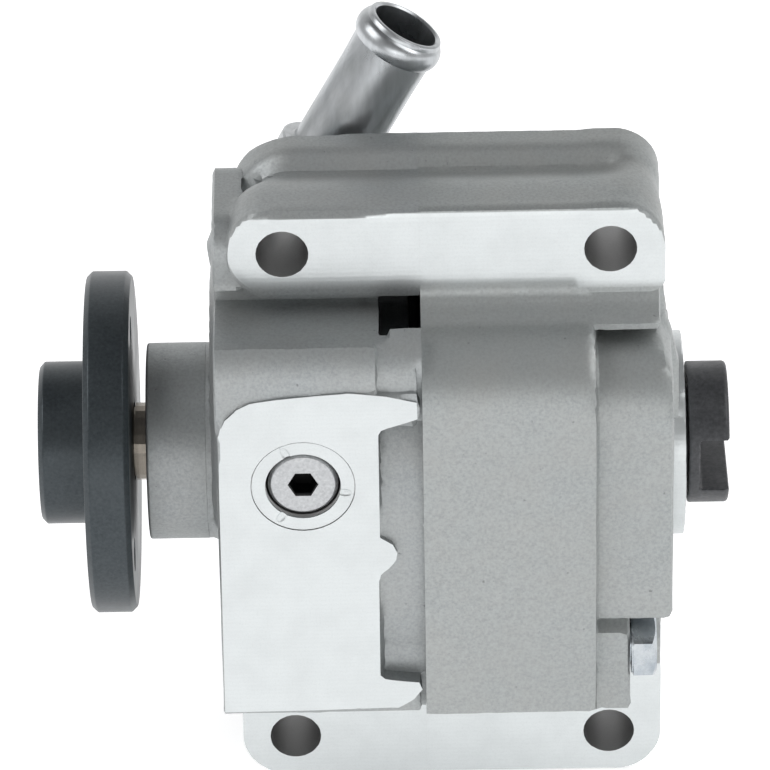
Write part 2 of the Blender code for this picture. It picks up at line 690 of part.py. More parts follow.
add(shaft, prism("spline", "X", spline(0.0), 83.3, 101.0))
cut(shaft, cylinder("cutter", "Z", 1.5, -12.0, 12.0, 124.0, 0.0, n=10))
finish(shaft, "shaft_steel", shaft_axis)

dog = turned(
    "drive_dog",
    [
        (SHAFT_END + 0.5, 0),
        (SHAFT_END + 0.5, DOG_SEAT_R + GAP),
        (119.3, DOG_SEAT_R + GAP),
        (119.3, DOG_SLEEVE_R),
        (DOG_BASE_X0, DOG_SLEEVE_R),
        (DOG_BASE_X0, DOG_R - 0.5),
        (DOG_BASE_X0 + 0.5, DOG_R),
        (DOG_END - 0.8, DOG_R),
        (DOG_END, DOG_R - 0.8),
        (DOG_END, 0),
    ],
    34,
)
cut(dog, box("cutter", (DOG_BASE_X1, -20.0, -DOG_SLOT / 2), (DOG_END + 2, 20.0, DOG_SLOT / 2)))
cut(dog, cylinder("cutter", "Z", 1.5, -12.0, 12.0, 124.0, 0.0, n=10))
finish(dog, "dog_steel", shaft_axis)
finish(turned("dog_pin", [(-8.4, 0), (-8.4, 0.9), (-8.1, 1.2), (8.1, 1.2), (8.4, 0.9), (8.4, 0)], 10), "ground_steel")
pin = bpy.data.objects["dog_pin"]
placed(pin, shaft_axis, (124.0, 0, 0), (0, -math.pi / 2, 0))

# ---------------------------------------------------------------- cartridge
def kidney(r0, r1, a_mid, a_half, n=4):
    a = [math.radians(a_mid - a_half + 2 * a_half * k / n) for k in range(n + 1)]
    return [(r1 * math.cos(t), r1 * math.sin(t)) for t in a] + [(r0 * math.cos(t), r0 * math.sin(t)) for t in reversed(a)]


def plate(name, x0, x1, hole_r, ports):
    p = turned(name, [(x0, hole_r), (x0, CART_R - 0.5), (x0 + 0.5, CART_R), (x1, CART_R), (x1, hole_r)], 44, closed=True)
    for a, r0, r1, half in ports:
        cut(p, prism("cutter", "X", kidney(r0, r1, a, half), x0 - 1, x1 + 1))
    for s in (1, -1):
        cut(p, cylinder("cutter", "X", DOWEL_R + GAP, x0 - 1, x1 + 1, s * DOWEL_PCR, 0.0, n=8))
    return p


suction = [(a, 19.6, 26.8, 16.0) for a in PORT_SUCTION]
pressure = [(a, 20.2, 24.4, 14.0) for a in PORT_PRESSURE]
finish(plate("front_side_plate", *PLATE_F, 11.0, suction + pressure), "ground_steel", pump)
finish(plate("rear_side_plate", *PLATE_R, 8.6, pressure), "ground_steel", pump)


def cam_r(t):
    return CAM_MEAN_R - CAM_LIFT * math.cos(2 * t)


def cam_ring():
    n = 60
    bm = bmesh.new()
    rows = []
    for x, r in ((CAM[0], CART_R), (CAM[1], CART_R), (CAM[1], None), (CAM[0], None)):
        rows.append(
            ring(
                bm,
                [
                    (x * MM, (r or cam_r(t)) * MM * math.cos(t), (r or cam_r(t)) * MM * math.sin(t))
                    for t in (2 * math.pi * k / n for k in range(n))
                ],
            )
        )
    skin(bm, rows, closed=True)
    return mesh_object("cam_ring", bm)


cam = cam_ring()
for s in (1, -1):
    cut(cam, cylinder("cutter", "X", DOWEL_R + GAP, CAM[0] - 1, CAM[1] + 1, s * DOWEL_PCR, 0.0, n=8))
finish(cam, "ground_steel", pump)

for i, s in enumerate((1, -1)):
    d = turned("dowel_pin_%d" % (i + 1), [(0, 0), (0, DOWEL_R - 0.4), (0.4, DOWEL_R), (25.6, DOWEL_R), (26.0, DOWEL_R - 0.4), (26.0, 0)], 8)
    finish(d, "ground_steel")
    placed(d, pump, (80.0, s * DOWEL_PCR, 0))

rotor = turned("rotor", [(ROTOR[0], 9.6), (ROTOR[0], ROTOR_R - 0.3), (ROTOR[0] + 0.3, ROTOR_R), (ROTOR[1] - 0.3, ROTOR_R), (ROTOR[1], ROTOR_R - 0.3), (ROTOR[1], 9.6)], 40, closed=True)
core = prism("core", "X", circle(10.0, 24), ROTOR[0] + 0.02, ROTOR[1] - 0.02)
cut(core, prism("cutter", "X", spline(GAP), ROTOR[0] - 1, ROTOR[1] + 1))
add(rotor, core)
for k in range(VANE_COUNT):
    t = math.radians(18 + 36 * k)
    slot = prism("cutter", "X", [(SLOT_R0, -VANE_SLOT_T / 2), (24.0, -VANE_SLOT_T / 2), (24.0, VANE_SLOT_T / 2), (SLOT_R0, VANE_SLOT_T / 2)], ROTOR[0] - 1, ROTOR[1] + 1)
    add(slot, cylinder("key", "X", 1.45, ROTOR[0] - 1.1, ROTOR[1] + 1.1, SLOT_R0 + 0.3, 0.0, n=8))
    slot.data.transform(Matrix.Rotation(t, 4, "X"))
    cut(rotor, slot)
finish(rotor, "ground_steel", shaft_axis)

vane_mesh = None
for k in range(VANE_COUNT):
    name = "vane_%02d" % (k + 1)
    t = math.radians(18 + 36 * k)
    if vane_mesh is None:
        h, w = (ROTOR[1] - ROTOR[0]) / 2 - 0.1, VANE_T / 2
        v = prism(name, "X", [(VANE_R0, -w), (VANE_R1 - 0.4, -w), (VANE_R1, -w + 0.35), (VANE_R1, w - 0.35), (VANE_R1 - 0.4, w), (VANE_R0, w)], -h, h)
        finish(v, "ground_steel")
        vane_mesh = v.data
    else:
        v = bpy.data.objects.new(name, vane_mesh)
        SCENE.objects.link(v)
    placed(v, shaft_axis, ((ROTOR[0] + ROTOR[1]) / 2, 0, 0), (t, 0, 0))

finish(c_ring("rotor_retaining_ring", 7.6, 10.2, 82.1, 83.1, 60.0, 18), "spring_steel", shaft_axis)
finish(
    turned("plate_spring", [(107.7, 15.0), (109.0, 22.5), (109.7, 22.5), (108.4, 15.0)], 24, closed=True),
    "spring_steel",
    pump,
)
finish(
    turned("housing_seal_ring", [(75.1 + 1.0 * math.cos(a), 33.6 + 1.0 * math.sin(a)) for a in (math.pi * k / 3 for k in range(6))], 34, closed=True),
    "seal_rubber",
    pump,
)
finish(turned("rear_bush", [(110.6, 7.5), (110.6, 10.0), (118.4, 10.0), (118.4, 7.5)], 24, closed=True), "bronze", pump)
finish(
    turned(
        "rear_seal",
        [(121.0, 9.5), (121.0, 13.0), (127.0, 13.0), (127.0, 11.9), (123.0, 11.9), (123.0, 10.6), (124.2, 9.3), (123.6, 9.2), (122.2, 9.4)],
        24,
        closed=True,
    ),
    "seal_rubber",
    pump,
)

# ---------------------------------------------------------------- flow valve
plug = prism("valve_plug", "Y", circle(PLUG_R, 26), PAD_Y + 0.75, PLUG_END_Y)
cut(plug, prism("cutter", "Y", circle(HEX_AF / 2 / math.cos(math.pi / 6), 6, 0, 0, 0), PAD_Y - 1, PAD_Y + 0.75 + HEX_DEPTH))
finish(plug, "plug_steel")
placed(plug, valve_axis, (0, 0, 0))

spool = turned(
    "valve_spool",
    [
        (-16.4, 0),
        (-16.4, 3.6),
        (SPOOL_Y0, 3.6),
        (SPOOL_Y0, 6.4),
        (SPOOL_Y0 + 0.6, SPOOL_R),
        (-17.6, SPOOL_R),
        (-17.6, 5.6),
        (-14.4, 5.6),
        (-14.4, SPOOL_R),
        (SPOOL_Y1 - 0.5, SPOOL_R),
        (SPOOL_Y1, SPOOL_R - 0.5),
        (SPOOL_Y1, 0),
    ],
    24,
)
spool.data.transform(Matrix.Rotation(math.pi / 2, 4, "Z"))
finish(spool, "ground_steel")
placed(spool, valve_axis, (0, 0, 0))


def coil(name, r, wire, y0, y1, turns, per_turn=10, sides=5):
    """A compression spring along Y with closed, flattened ends."""
    bm = bmesh.new()
    rings = []
    n = int(turns * per_turn)
    for i in range(n + 1):
        f = i / n
        t = 2 * math.pi * turns * f
        dead = 1.0 / turns
        g = 0.0 if f < dead else (1.0 if f > 1 - dead else (f - dead) / (1 - 2 * dead))
        lead = (y1 - y0 - 2 * wire) - 2 * wire * 2.3
        y = y0 + wire + wire * 2.3 * min(f / dead, 1.0) + lead * g + wire * 2.3 * max((f - 1 + dead) / dead, 0.0)
        c = Vector((r * math.cos(t), y, r * math.sin(t)))
        out = Vector((math.cos(t), 0, math.sin(t)))
        rings.append(ring(bm, [(c + wire * (out * math.cos(a) + Vector((0, 1, 0)) * math.sin(a))) * MM for a in (2 * math.pi * k / sides for k in range(sides))]))
    skin(bm, rings)
    return mesh_object(name, bm)


finish(coil("valve_spring", 5.0, 0.5, PLUG_END_Y + GAP, SPOOL_Y0 - GAP, 4.5), "spring_steel", None, 60.0)
placed(bpy.data.objects["valve_spring"], valve_axis, (0, 0, 0))

# ---------------------------------------------------------------- inlet pipe and its seal
pipe_axis = empty("pipe_axis", PIPE_MOUTH)
pipe_axis.parent = pump
pipe_axis.rotation_mode = "QUATERNION"
pipe_axis.rotation_quaternion = Vector((1, 0, 0)).rotation_difference(PIPE_DIR)
profile = [(PIPE_TAIL, PIPE_BORE_R), (PIPE_TAIL, PIPE_R - 0.6), (PIPE_TAIL + 0.6, PIPE_R), (COLLAR_LOW, PIPE_R), (COLLAR_LOW, COLLAR_R), (COLLAR_HIGH - 0.5, COLLAR_R), (COLLAR_HIGH, COLLAR_R - 0.5), (COLLAR_HIGH, PIPE_R)]
profile += [(BEAD_T + 2.4 * math.cos(a), PIPE_R + (BEAD_R - PIPE_R) * math.sin(a)) for a in (math.pi * (1 - k / 4) for k in range(5))]
profile += [(-0.5, PIPE_R), (0.0, PIPE_R - 0.4), (0.0, PIPE_BORE_R + 0.3), (-0.4, PIPE_BORE_R)]
finish(turned("inlet_pipe", profile, 24, closed=True), "plated_steel", pipe_axis)
finish(
    turned("inlet_pipe_seal", [(-43.2 + 0.8 * math.cos(a), 9.25 + 0.8 * math.sin(a)) for a in (math.pi * k / 3 for k in range(6))], 20, closed=True),
    "seal_rubber",
    pipe_axis,
)
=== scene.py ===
import json
import math

import bmesh
import bpy
import numpy as np
from mathutils import Matrix, Vector


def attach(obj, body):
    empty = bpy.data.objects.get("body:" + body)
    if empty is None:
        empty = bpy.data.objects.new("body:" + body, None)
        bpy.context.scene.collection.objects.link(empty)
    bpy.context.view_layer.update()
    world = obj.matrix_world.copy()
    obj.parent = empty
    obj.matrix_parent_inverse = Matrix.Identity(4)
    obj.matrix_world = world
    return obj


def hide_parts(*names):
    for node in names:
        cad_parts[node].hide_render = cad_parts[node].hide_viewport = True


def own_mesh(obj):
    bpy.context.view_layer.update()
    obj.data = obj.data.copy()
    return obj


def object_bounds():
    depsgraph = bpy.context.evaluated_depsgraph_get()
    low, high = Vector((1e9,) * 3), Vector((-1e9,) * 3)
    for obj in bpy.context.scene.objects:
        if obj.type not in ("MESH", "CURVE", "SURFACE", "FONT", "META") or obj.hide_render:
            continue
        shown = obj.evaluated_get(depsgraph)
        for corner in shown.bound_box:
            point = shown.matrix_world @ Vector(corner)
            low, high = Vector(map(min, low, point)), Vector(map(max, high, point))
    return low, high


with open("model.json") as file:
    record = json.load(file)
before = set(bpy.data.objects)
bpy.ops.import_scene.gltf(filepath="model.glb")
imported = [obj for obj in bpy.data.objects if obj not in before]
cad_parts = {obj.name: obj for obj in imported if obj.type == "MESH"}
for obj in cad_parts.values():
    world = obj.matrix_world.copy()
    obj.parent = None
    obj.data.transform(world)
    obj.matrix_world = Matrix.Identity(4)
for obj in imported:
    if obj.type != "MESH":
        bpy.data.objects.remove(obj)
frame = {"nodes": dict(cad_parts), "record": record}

MM = 0.001
CAD_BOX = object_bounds()
SCENE = bpy.context.scene.collection

# ================================================================= camera
# The view looks down 32 degrees on the pad side, from far away, with a slight roll.
ELEV, ROLL, DIST = math.radians(32.0), math.radians(1.0), 1.3
TARGET = Vector((0.0692, 0.0, 0.01225))
look = Vector((0, math.cos(ELEV), -math.sin(ELEV)))
right0, up0 = Vector((1, 0, 0)), Vector((0, math.sin(ELEV), math.cos(ELEV)))
right = right0 * math.cos(ROLL) - up0 * math.sin(ROLL)
up = up0 * math.cos(ROLL) + right0 * math.sin(ROLL)
cam_data = bpy.data.cameras.new("photo_view")
cam_data.sensor_width = 36.0
cam_data.lens = 6500.0 * 36.0 / 770.0
cam_data.clip_start, cam_data.clip_end = 0.05, 20.0
cam = bpy.data.objects.new("photo_view", cam_data)
place = Matrix((right, up, -look)).transposed().to_4x4()
place.translation = TARGET - look * DIST
cam.matrix_world = place
SCENE.objects.link(cam)
bpy.context.scene.camera = cam
bpy.context.scene.view_settings.view_transform = "Standard"


# ================================================================= signed distances, in mm
def smin(a, b, k):
    h = np.maximum(k - np.abs(a - b), 0.0) / k
    return np.minimum(a, b) - h * h * k * 0.25


def smax(a, b, k):
    return -smin(-a, -b, k)


def amax(*values):
    out = values[0]
    for v in values[1:]:
        out = np.maximum(out, v)
    return out


def amin(*values):
    out = values[0]
    for v in values[1:]:
        out = np.minimum(out, v)
    return out


def ease(e0, e1, v):
    t = np.clip((v - e0) / (e1 - e0), 0.0, 1.0)
    return t * t * (3 - 2 * t)


def rrect(u, v, u0, u1, v0, v1, r):
    """A rounded rectangle; r lists the radii at (u0,v0), (u1,v0), (u1,v1), (u0,v1)."""
    du, dv = u - (u0 + u1) / 2, v - (v0 + v1) / 2
    rr = np.where(du < 0, np.where(dv < 0, r[0], r[3]), np.where(dv < 0, r[1], r[2]))
    a = np.abs(du) - (u1 - u0) / 2 + rr
    b = np.abs(dv) - (v1 - v0) / 2 + rr
    return np.minimum(np.maximum(a, b), 0) + np.hypot(np.maximum(a, 0), np.maximum(b, 0)) - rr


def slab(flat, w, w0, w1, r0=0.0, r1=0.0):
    """A section carried from w0 to w1, with its rims rounded by r0 and r1."""
    mid, half = (w0 + w1) / 2, (w1 - w0) / 2
    e = np.where(w < mid, r0, r1)
    a, b = flat + e, np.abs(w - mid) - half + e
    return np.minimum(np.maximum(a, b), 0) + np.hypot(np.maximum(a, 0), np.maximum(b, 0)) - e


def poly(u, v, pts):
    """Exact distance to a polygon."""
    d, s = None, 1.0
    for i in range(len(pts)):
        (ax, ay), (bx, by) = pts[i], pts[i - 1]
        ex, ey = bx - ax, by - ay
        wx, wy = u - ax, v - ay
        t = np.clip((wx * ex + wy * ey) / (ex * ex + ey * ey), 0, 1)
        q = (wx - ex * t) ** 2 + (wy - ey * t) ** 2
        d = q if d is None else np.minimum(d, q)
        c1, c2, c3 = v >= ay, v < by, ex * wy > ey * wx
        s = np.where((c1 & c2 & c3) | (~c1 & ~c2 & ~c3), -s, s)
    return s * np.sqrt(d)


def swell(x, y, z):
    """Soft unevenness of a sand-cast skin, never proud of the drawing."""
    w = np.sin(0.31 * x + 0.22 * y + 0.4) + np.sin(0.27 * y - 0.33 * z + 1.3) + np.sin(0.24 * z + 0.38 * x + 2.1)
    f = np.sin(1.1 * x + 0.9 * z) * np.sin(1.3 * y - 0.8 * z + 0.5)
    calm = ease(-20.5, -22.6, y) * ease(-24.5, -23.5, y) * ease(40.8, 42.0, np.abs(z))
    return (0.055 * (1 + w / 3) + 0.018 * (1 + f)) * (1.0 - calm)


# ================================================================= surface extraction
def contour(name, sdf, lo, hi, h):
    """Dual contouring: one vertex in each cell that the surface crosses, set on the planes met there, so edges stay crisp."""
    lo = [a - 0.137 * h for a in lo]
    n = [int(math.ceil((hi[a] - lo[a]) / h)) + 2 for a in range(3)]
    ax = [lo[a] + h * np.arange(n[a]) for a in range(3)]
    field = np.empty(n)
    for i in range(0, n[0], 24):
        part = sdf(ax[0][i : i + 24, None, None], ax[1][None, :, None], ax[2][None, None, :])
        field[i : i + 24] = np.broadcast_to(part, (min(24, n[0] - i), n[1], n[2]))
    field[np.abs(field) < 1e-7] = 1e-7
    inside = field < 0
    m = [v - 1 for v in n]
    lo = np.array(lo)
    pts, nrm, ids, quads = [], [], [], []
    for a in range(3):
        b, c = (a + 1) % 3, (a + 2) % 3
        s0, s1 = [slice(None)] * 3, [slice(None)] * 3
        s0[a], s1[a] = slice(0, -1), slice(1, None)
        idx = np.argwhere(inside[tuple(s0)] != inside[tuple(s1)])
        keep = (idx[:, b] > 0) & (idx[:, b] < m[b]) & (idx[:, c] > 0) & (idx[:, c] < m[c])
        idx = idx[keep]
        step = np.zeros(3, int)
        step[a] = 1
        d0 = field[idx[:, 0], idx[:, 1], idx[:, 2]]
        nxt = idx + step
        d1 = field[nxt[:, 0], nxt[:, 1], nxt[:, 2]]
        start = lo + h * idx
        tl, tr, dl, dr = np.zeros(len(idx)), np.ones(len(idx)), d0.copy(), d1.copy()
        t = dl / (dl - dr)
        for k in range(5):
            p = start + (t * h)[:, None] * step
            d = sdf(p[:, 0], p[:, 1], p[:, 2])
            left = (d < 0) == (dl < 0)
            tl, dl = np.where(left, t, tl), np.where(left, d, dl)
            tr, dr = np.where(left, tr, t), np.where(left, dr, d)
            t = tl + (tr - tl) * np.clip(dl / np.where(dl == dr, 1e-12, dl - dr), 0.02, 0.98) if k < 4 else t
        p = start + (t * h)[:, None] * step
        e = 0.01
        g = np.stack(
            [
                sdf(p[:, 0] + e * (q == 0), p[:, 1] + e * (q == 1), p[:, 2] + e * (q == 2))
                - sdf(p[:, 0] - e * (q == 0), p[:, 1] - e * (q == 1), p[:, 2] - e * (q == 2))
                for q in range(3)
            ],
            1,
        )
        g /= np.maximum(np.linalg.norm(g, axis=1, keepdims=True), 1e-12)
        corner = []
        for ob, oc in ((1, 1), (0, 1), (0, 0), (1, 0)):
            cell = idx.copy()
            cell[:, b] -= ob
            cell[:, c] -= oc
            flat = (cell[:, 0] * m[1] + cell[:, 1]) * m[2] + cell[:, 2]
            corner.append(flat)
            pts.append(p)
            nrm.append(g)
            ids.append(flat)
        q = np.stack(corner, 1)
        flip = d0 > 0
        q[flip] = q[flip][:, ::-1]
        quads.append(q)
    pts, nrm, ids, quads = np.concatenate(pts), np.concatenate(nrm), np.concatenate(ids), np.concatenate(quads)
    cells, inv = np.unique(ids, return_inverse=True)
    k = len(cells)
    count = np.bincount(inv, minlength=k)[:, None]
    mean = np.stack([np.bincount(inv, pts[:, q], k) for q in range(3)], 1) / count
    off = np.einsum("ij,ij->i", nrm, pts - mean[inv])
    ata = np.stack([np.bincount(inv, nrm[:, i] * nrm[:, j], k) for i in range(3) for j in range(3)], 1).reshape(k, 3, 3)
    atb = np.stack([np.bincount(inv, nrm[:, i] * off, k) for i in range(3)], 1)
    w, vec = np.linalg.eigh(ata)
    wi = np.where(w > 0.08 * w[:, -1:], 1.0 / np.maximum(w, 1e-9), 0.0)
    x = np.einsum("nij,nj,nkj,nk->ni", vec, wi, vec, atb)
    cc = np.stack([cells // (m[1] * m[2]), (cells // m[2]) % m[1], cells % m[2]], 1)
    middle = lo + h * (cc + 0.5)
    x = np.clip(mean + x, middle - 0.62 * h, middle + 0.62 * h)
    faces = np.searchsorted(cells, quads)
    me = bpy.data.meshes.new(name)
    me.vertices.add(k)
    me.vertices.foreach_set("co", (x * MM).astype(np.float32).ravel())
    me.loops.add(len(faces) * 4)
    me.loops.foreach_set("vertex_index", faces.astype(np.int32).ravel())
    me.polygons.add(len(faces))
    me.polygons.foreach_set("loop_start", np.arange(len(faces), dtype=np.int32) * 4)
    me.update(calc_edges=True)
    me.validate()
    ob = bpy.data.objects.new(name, me)
    SCENE.objects.link(ob)
    return ob


def shade(ob, angle=32.0):
    ob.data.shade_smooth()
    ob.data.set_sharp_from_angle(angle=math.radians(angle))
    return ob


def face_centres(ob):
    n = len(ob.data.polygons)
    c, g = np.empty(n * 3), np.empty(n * 3)
    ob.data.polygons.foreach_get("center", c)
    ob.data.polygons.foreach_get("normal", g)
    return c.reshape(-1, 3) / MM, g.reshape(-1, 3)


def set_faces(ob, index):
    ob.data.polygons.foreach_set("material_index", index.astype(np.int32))
    ob.data.update()


# ================================================================= material helpers
class Look:
    """A Principled material with its nodes made by short calls."""

    def __init__(self, name, colour=(0.5, 0.5, 0.5), rough=0.5, metal=0.0, **fixed):
        self.m = bpy.data.materials.new(name)
        self.m.use_nodes = True
        self.nt = self.m.node_tree
        self.p = self.nt.nodes["Principled BSDF"]
        self.p.inputs["Base Color"].default_value = (*colour, 1)
        self.p.inputs["Roughness"].default_value = rough
        self.p.inputs["Metallic"].default_value = metal
        for k, v in fixed.items():
            self.p.inputs[k.replace("_", " ")].default_value = v
        self.m.diffuse_color = (*colour, 1)
        self.coord = self.nt.nodes.new("ShaderNodeTexCoord").outputs["Object"]

    def link(self, a, b):
        self.nt.links.new(a, b)

    def node(self, kind, **kw):
        n = self.nt.nodes.new(kind)
        for k, v in kw.items():
            setattr(n, k, v)
        return n

    def noise(self, scale, detail=3.0, rough=0.55, stretch=None, distortion=0.0):
        n = self.node("ShaderNodeTexNoise")
        n.inputs["Scale"].default_value = scale
        n.inputs["Detail"].default_value = detail
        n.inputs["Roughness"].default_value = rough
        n.inputs["Distortion"].default_value = distortion
        if stretch:
            v = self.node("ShaderNodeMapping")
            v.inputs["Scale"].default_value = stretch
            self.link(self.coord, v.inputs["Vector"])
            self.link(v.outputs["Vector"], n.inputs["Vector"])
        else:
            self.link(self.coord, n.inputs["Vector"])
        return n.outputs["Fac"]

    def ramp(self, fac, *stops):
        r = self.node("ShaderNodeValToRGB")
        el = r.color_ramp.elements
        while len(el) < len(stops):
            el.new(0.5)
        for e, (pos, col) in zip(el, stops):
            e.position = pos
            e.color = (*col, 1) if isinstance(col, tuple) else (col, col, col, 1)
        self.link(fac, r.inputs["Fac"])
        return r.outputs["Color"]

    def mix(self, fac, a, b, mode="MIX"):
        n = self.node("ShaderNodeMix", data_type="RGBA", blend_type=mode)
        for sock, v in ((0, fac), (6, a), (7, b)):
            if isinstance(v, (int, float)) and sock == 0:
                n.inputs[0].default_value = v
            elif isinstance(v, tuple):
                n.inputs[sock].default_value = (*v, 1)
            elif isinstance(v, (int, float)):
                n.inputs[sock].default_value = (v, v, v, 1)
            else:
                self.link(v, n.inputs[sock])
        return n.outputs[2]

    def math(self, op, a, b=0.0, c=None, clamp=False):
        n = self.node("ShaderNodeMath", operation=op, use_clamp=clamp)
        for i, v in enumerate((a, b) if c is None else (a, b, c)):
            if isinstance(v, (int, float)):
                n.inputs[i].default_value = v
            else:
                self.link(v, n.inputs[i])
        return n.outputs[0]

    def axis(self, name):
        s = self.node("ShaderNodeSeparateXYZ")
        self.link(self.coord, s.inputs[0])
        return s.outputs[name]

    def band(self, value, lo, hi, soft):
        """1 between lo and hi, falling to 0 over soft."""
        up_ = self.map(value, lo - soft, lo + soft, 0.0, 1.0)
        down = self.map(value, hi - soft, hi + soft, 1.0, 0.0)
        return self.math("MULTIPLY", up_, down)

    def map(self, value, a, b, c, d):
        n = self.node("ShaderNodeMapRange", interpolation_type="SMOOTHSTEP")
        self.link(value, n.inputs[0])
        for i, v in zip((1, 2, 3, 4), (a, b, c, d)):
            n.inputs[i].default_value = v
        return n.outputs[0]

    def bump(self, height, strength, distance, base=None):
        n = self.node("ShaderNodeBump")
        n.inputs["Strength"].default_value = strength
        n.inputs["Distance"].default_value = distance
        self.link(height, n.inputs["Height"])
        if base is not None:
            self.link(base, n.inputs["Normal"])
        return n.outputs["Normal"]

    def colour(self, sock):
        self.link(sock, self.p.inputs["Base Color"])

    def roughness(self, sock):
        self.link(sock, self.p.inputs["Roughness"])

    def normal(self, sock):
        self.link(sock, self.p.inputs["Normal"])


def milled_nodes(k, base, along, pitch):
    """Colour, roughness and normal of a face-milled surface."""
    wave = k.node("ShaderNodeTexWave", wave_type="BANDS", bands_direction=along, wave_profile="SIN")
    wave.inputs["Scale"].default_value = 0.314 / pitch / 2
    wave.inputs["Distortion"].default_value = 2.2
    wave.inputs["Detail"].default_value = 2.0
    wave.inputs["Detail Scale"].default_value = 1.6
    k.link(k.coord, wave.inputs["Vector"])
    lines = wave.outputs["Fac"]
    cloud = k.noise(130.0, 4.0, 0.6)
    fine = k.noise(2600.0, 3.0, 0.6)
    c = k.ramp(cloud, (0.3, tuple(v * 0.94 for v in base)), (0.6, base))
    c = k.mix(k.ramp(lines, (0.0, 0.0), (1.0, 0.10)), c, tuple(v * 0.82 for v in base))
    c = k.mix(k.ramp(fine, (0.35, 0.12), (0.5, 0.0)), c, tuple(v * 0.7 for v in base))
    n = k.bump(lines, 0.12, 0.00004)
    n = k.bump(fine, 0.10, 0.00005, n)
    return c, k.ramp(fine, (0.3, 0.42), (0.7, 0.28)), n


def cast_look(name, base, warm, faced):
    """Sand-cast aluminium: fine grain, faint blotches and shallow pits. The lug bars' front faces are milled, in the colour faced."""
    k = Look(name, base, 0.5, 0.85)
    grain = k.noise(1700.0, 4.0, 0.62)
    blot = k.noise(85.0, 4.0, 0.6)
    broad = k.noise(24.0, 2.0, 0.5)
    c = k.ramp(grain, (0.30, tuple(v * 0.86 for v in base)), (0.52, base), (0.72, tuple(min(1, v * 1.10) for v in base)))
    c = k.mix(k.ramp(blot, (0.35, 0.0), (0.75, 0.38)), c, warm)
    c = k.mix(k.ramp(broad, (0.35, 0.0), (0.7, 0.22)), c, tuple(v * 0.88 for v in base))
    pits = k.noise(620.0, 2.0, 0.5)
    pit = k.ramp(pits, (0.20, 0.60), (0.27, 1.0))
    c = k.mix(1.0, c, pit, "MULTIPLY")
    n = k.bump(grain, 0.35, 0.00012)
    n = k.bump(pits, 0.18, 0.0001, n)
    n = k.bump(blot, 0.12, 0.0004, n)
    c2, r2, n2 = milled_nodes(k, faced, "Z", 0.0005)
    x, y, z = k.axis("X"), k.axis("Y"), k.axis("Z")
    left = k.math("MINIMUM", k.math("SUBTRACT", x, 0.0472), 0.0)
    under = k.math("MAXIMUM", k.math("SUBTRACT", 0.0582, z), 0.0)
    over = k.math("MAXIMUM", k.math("SUBTRACT", z, 0.0582), 0.0)
    rise = k.math("ADD", k.math("MULTIPLY", under, 0.82), over)
    away = k.math("SQRT", k.math("ADD", k.math("MULTIPLY", left, left), k.math("MULTIPLY", rise, rise)))
    step = k.map(x, 0.1062, 0.1072, 0.0, 0.0012)
    upper = k.math("MULTIPLY", k.map(away, 0.0082, 0.0085, 1.0, 0.0), k.map(k.math("SUBTRACT", under, step), 0.0070, 0.0100, 1.0, 0.0))
    low = k.math("LESS_THAN", z, -0.0405)
    side = k.node("ShaderNodeSeparateXYZ")
    k.link(k.node("ShaderNodeTexCoord").outputs["Normal"], side.inputs[0])
    ahead = k.math("MULTIPLY", k.map(y, -0.0225, -0.0221, 1.0, 0.0), k.map(y, -0.0234, -0.0232, 0.0, 1.0))
    mask = k.math("MULTIPLY", k.math("MULTIPLY", ahead, k.math("MAXIMUM", upper, low)), k.math("MULTIPLY", k.map(side.outputs["Y"], -0.82, -0.72, 1.0, 0.0), k.map(k.math("SUBTRACT", z, k.map(x, 0.062, 0.072, 0.0645, 0.0652)), 0.0, 0.0003, 1.0, 0.0)))
    k.colour(k.mix(mask, c, c2))
    k.roughness(k.mix(mask, k.ramp(grain, (0.3, 0.56), (0.7, 0.46)), r2))
    k.normal(k.mix(mask, n, n2))
    return k.m


def milled_look(name, base, along, pitch=0.0005):
    """Face-milled aluminium: bright, with fine cutter lines and a slight cloudiness."""
    k = Look(name, base, 0.34, 0.8)
    c, r, n = milled_nodes(k, base, along, pitch)
    k.colour(c)
    k.roughness(r)
    k.normal(n)
    return k.m


# ================================================================= dimensions shared by the pieces (mm)
SEAM = 76.2
LUGS = [(49.7, 56.8), (113.3, 56.8), (49.9, -56.8), (113.3, -56.8)]
BOLTS = [(-30.5, -30.0), (28.0, -30.0), (28.0, 30.0), (-3.0, 40.0)]
VX, VZ = 52.9, 14.2
MOUTH = np.array((74.7, 21.0, 82.8))
DIR = np.array((0.49, 0.05, 0.87)) / np.linalg.norm((0.49, 0.05, 0.87))
PAD = [
    (36.5, 25.6), (37.9, 29.4), (40.6, 32.2), (43.2, 33.5), (48.0, 34.2), (55.0, 34.9), (62.4, 35.4), (69.2, 34.6), (75.8, 32.9),
    (75.8, 29.4), (72.6, 28.3), (68.6, 27.0), (67.7, 25.6), (67.7, 2.6), (68.6, 1.4), (70.2, 0.3), (71.1, -1.6), (70.7, -3.6), (69.4, -5.2),
    (68.0, -6.4), (67.4, -8.2), (67.3, -30.6), (68.3, -31.6), (71.4, -32.1), (75.0, -32.5), (75.6, -34.2), (73.8, -36.6), (71.1, -38.4), (53.2, -38.8), (36.3, -38.9),
]


def along_pipe(x, y, z):
    dx, dy, dz = x - MOUTH[0], y - MOUTH[1], z - MOUTH[2]
    t = dx * DIR[0] + dy * DIR[1] + dz * DIR[2]
    return t, np.sqrt(np.maximum(dx * dx + dy * dy + dz * dz - t * t, 0.0))


def bores(x, r, *steps):
    return amin(*[amax(r - rad, x0 - x, x - x1) for x0, x1, rad in steps])


def bar_face(y, z):
    """The plane to which the lug bars are milled."""
    return np.where((z > 47.4) | (z < -40.8), -23.0 - y, -99.0)


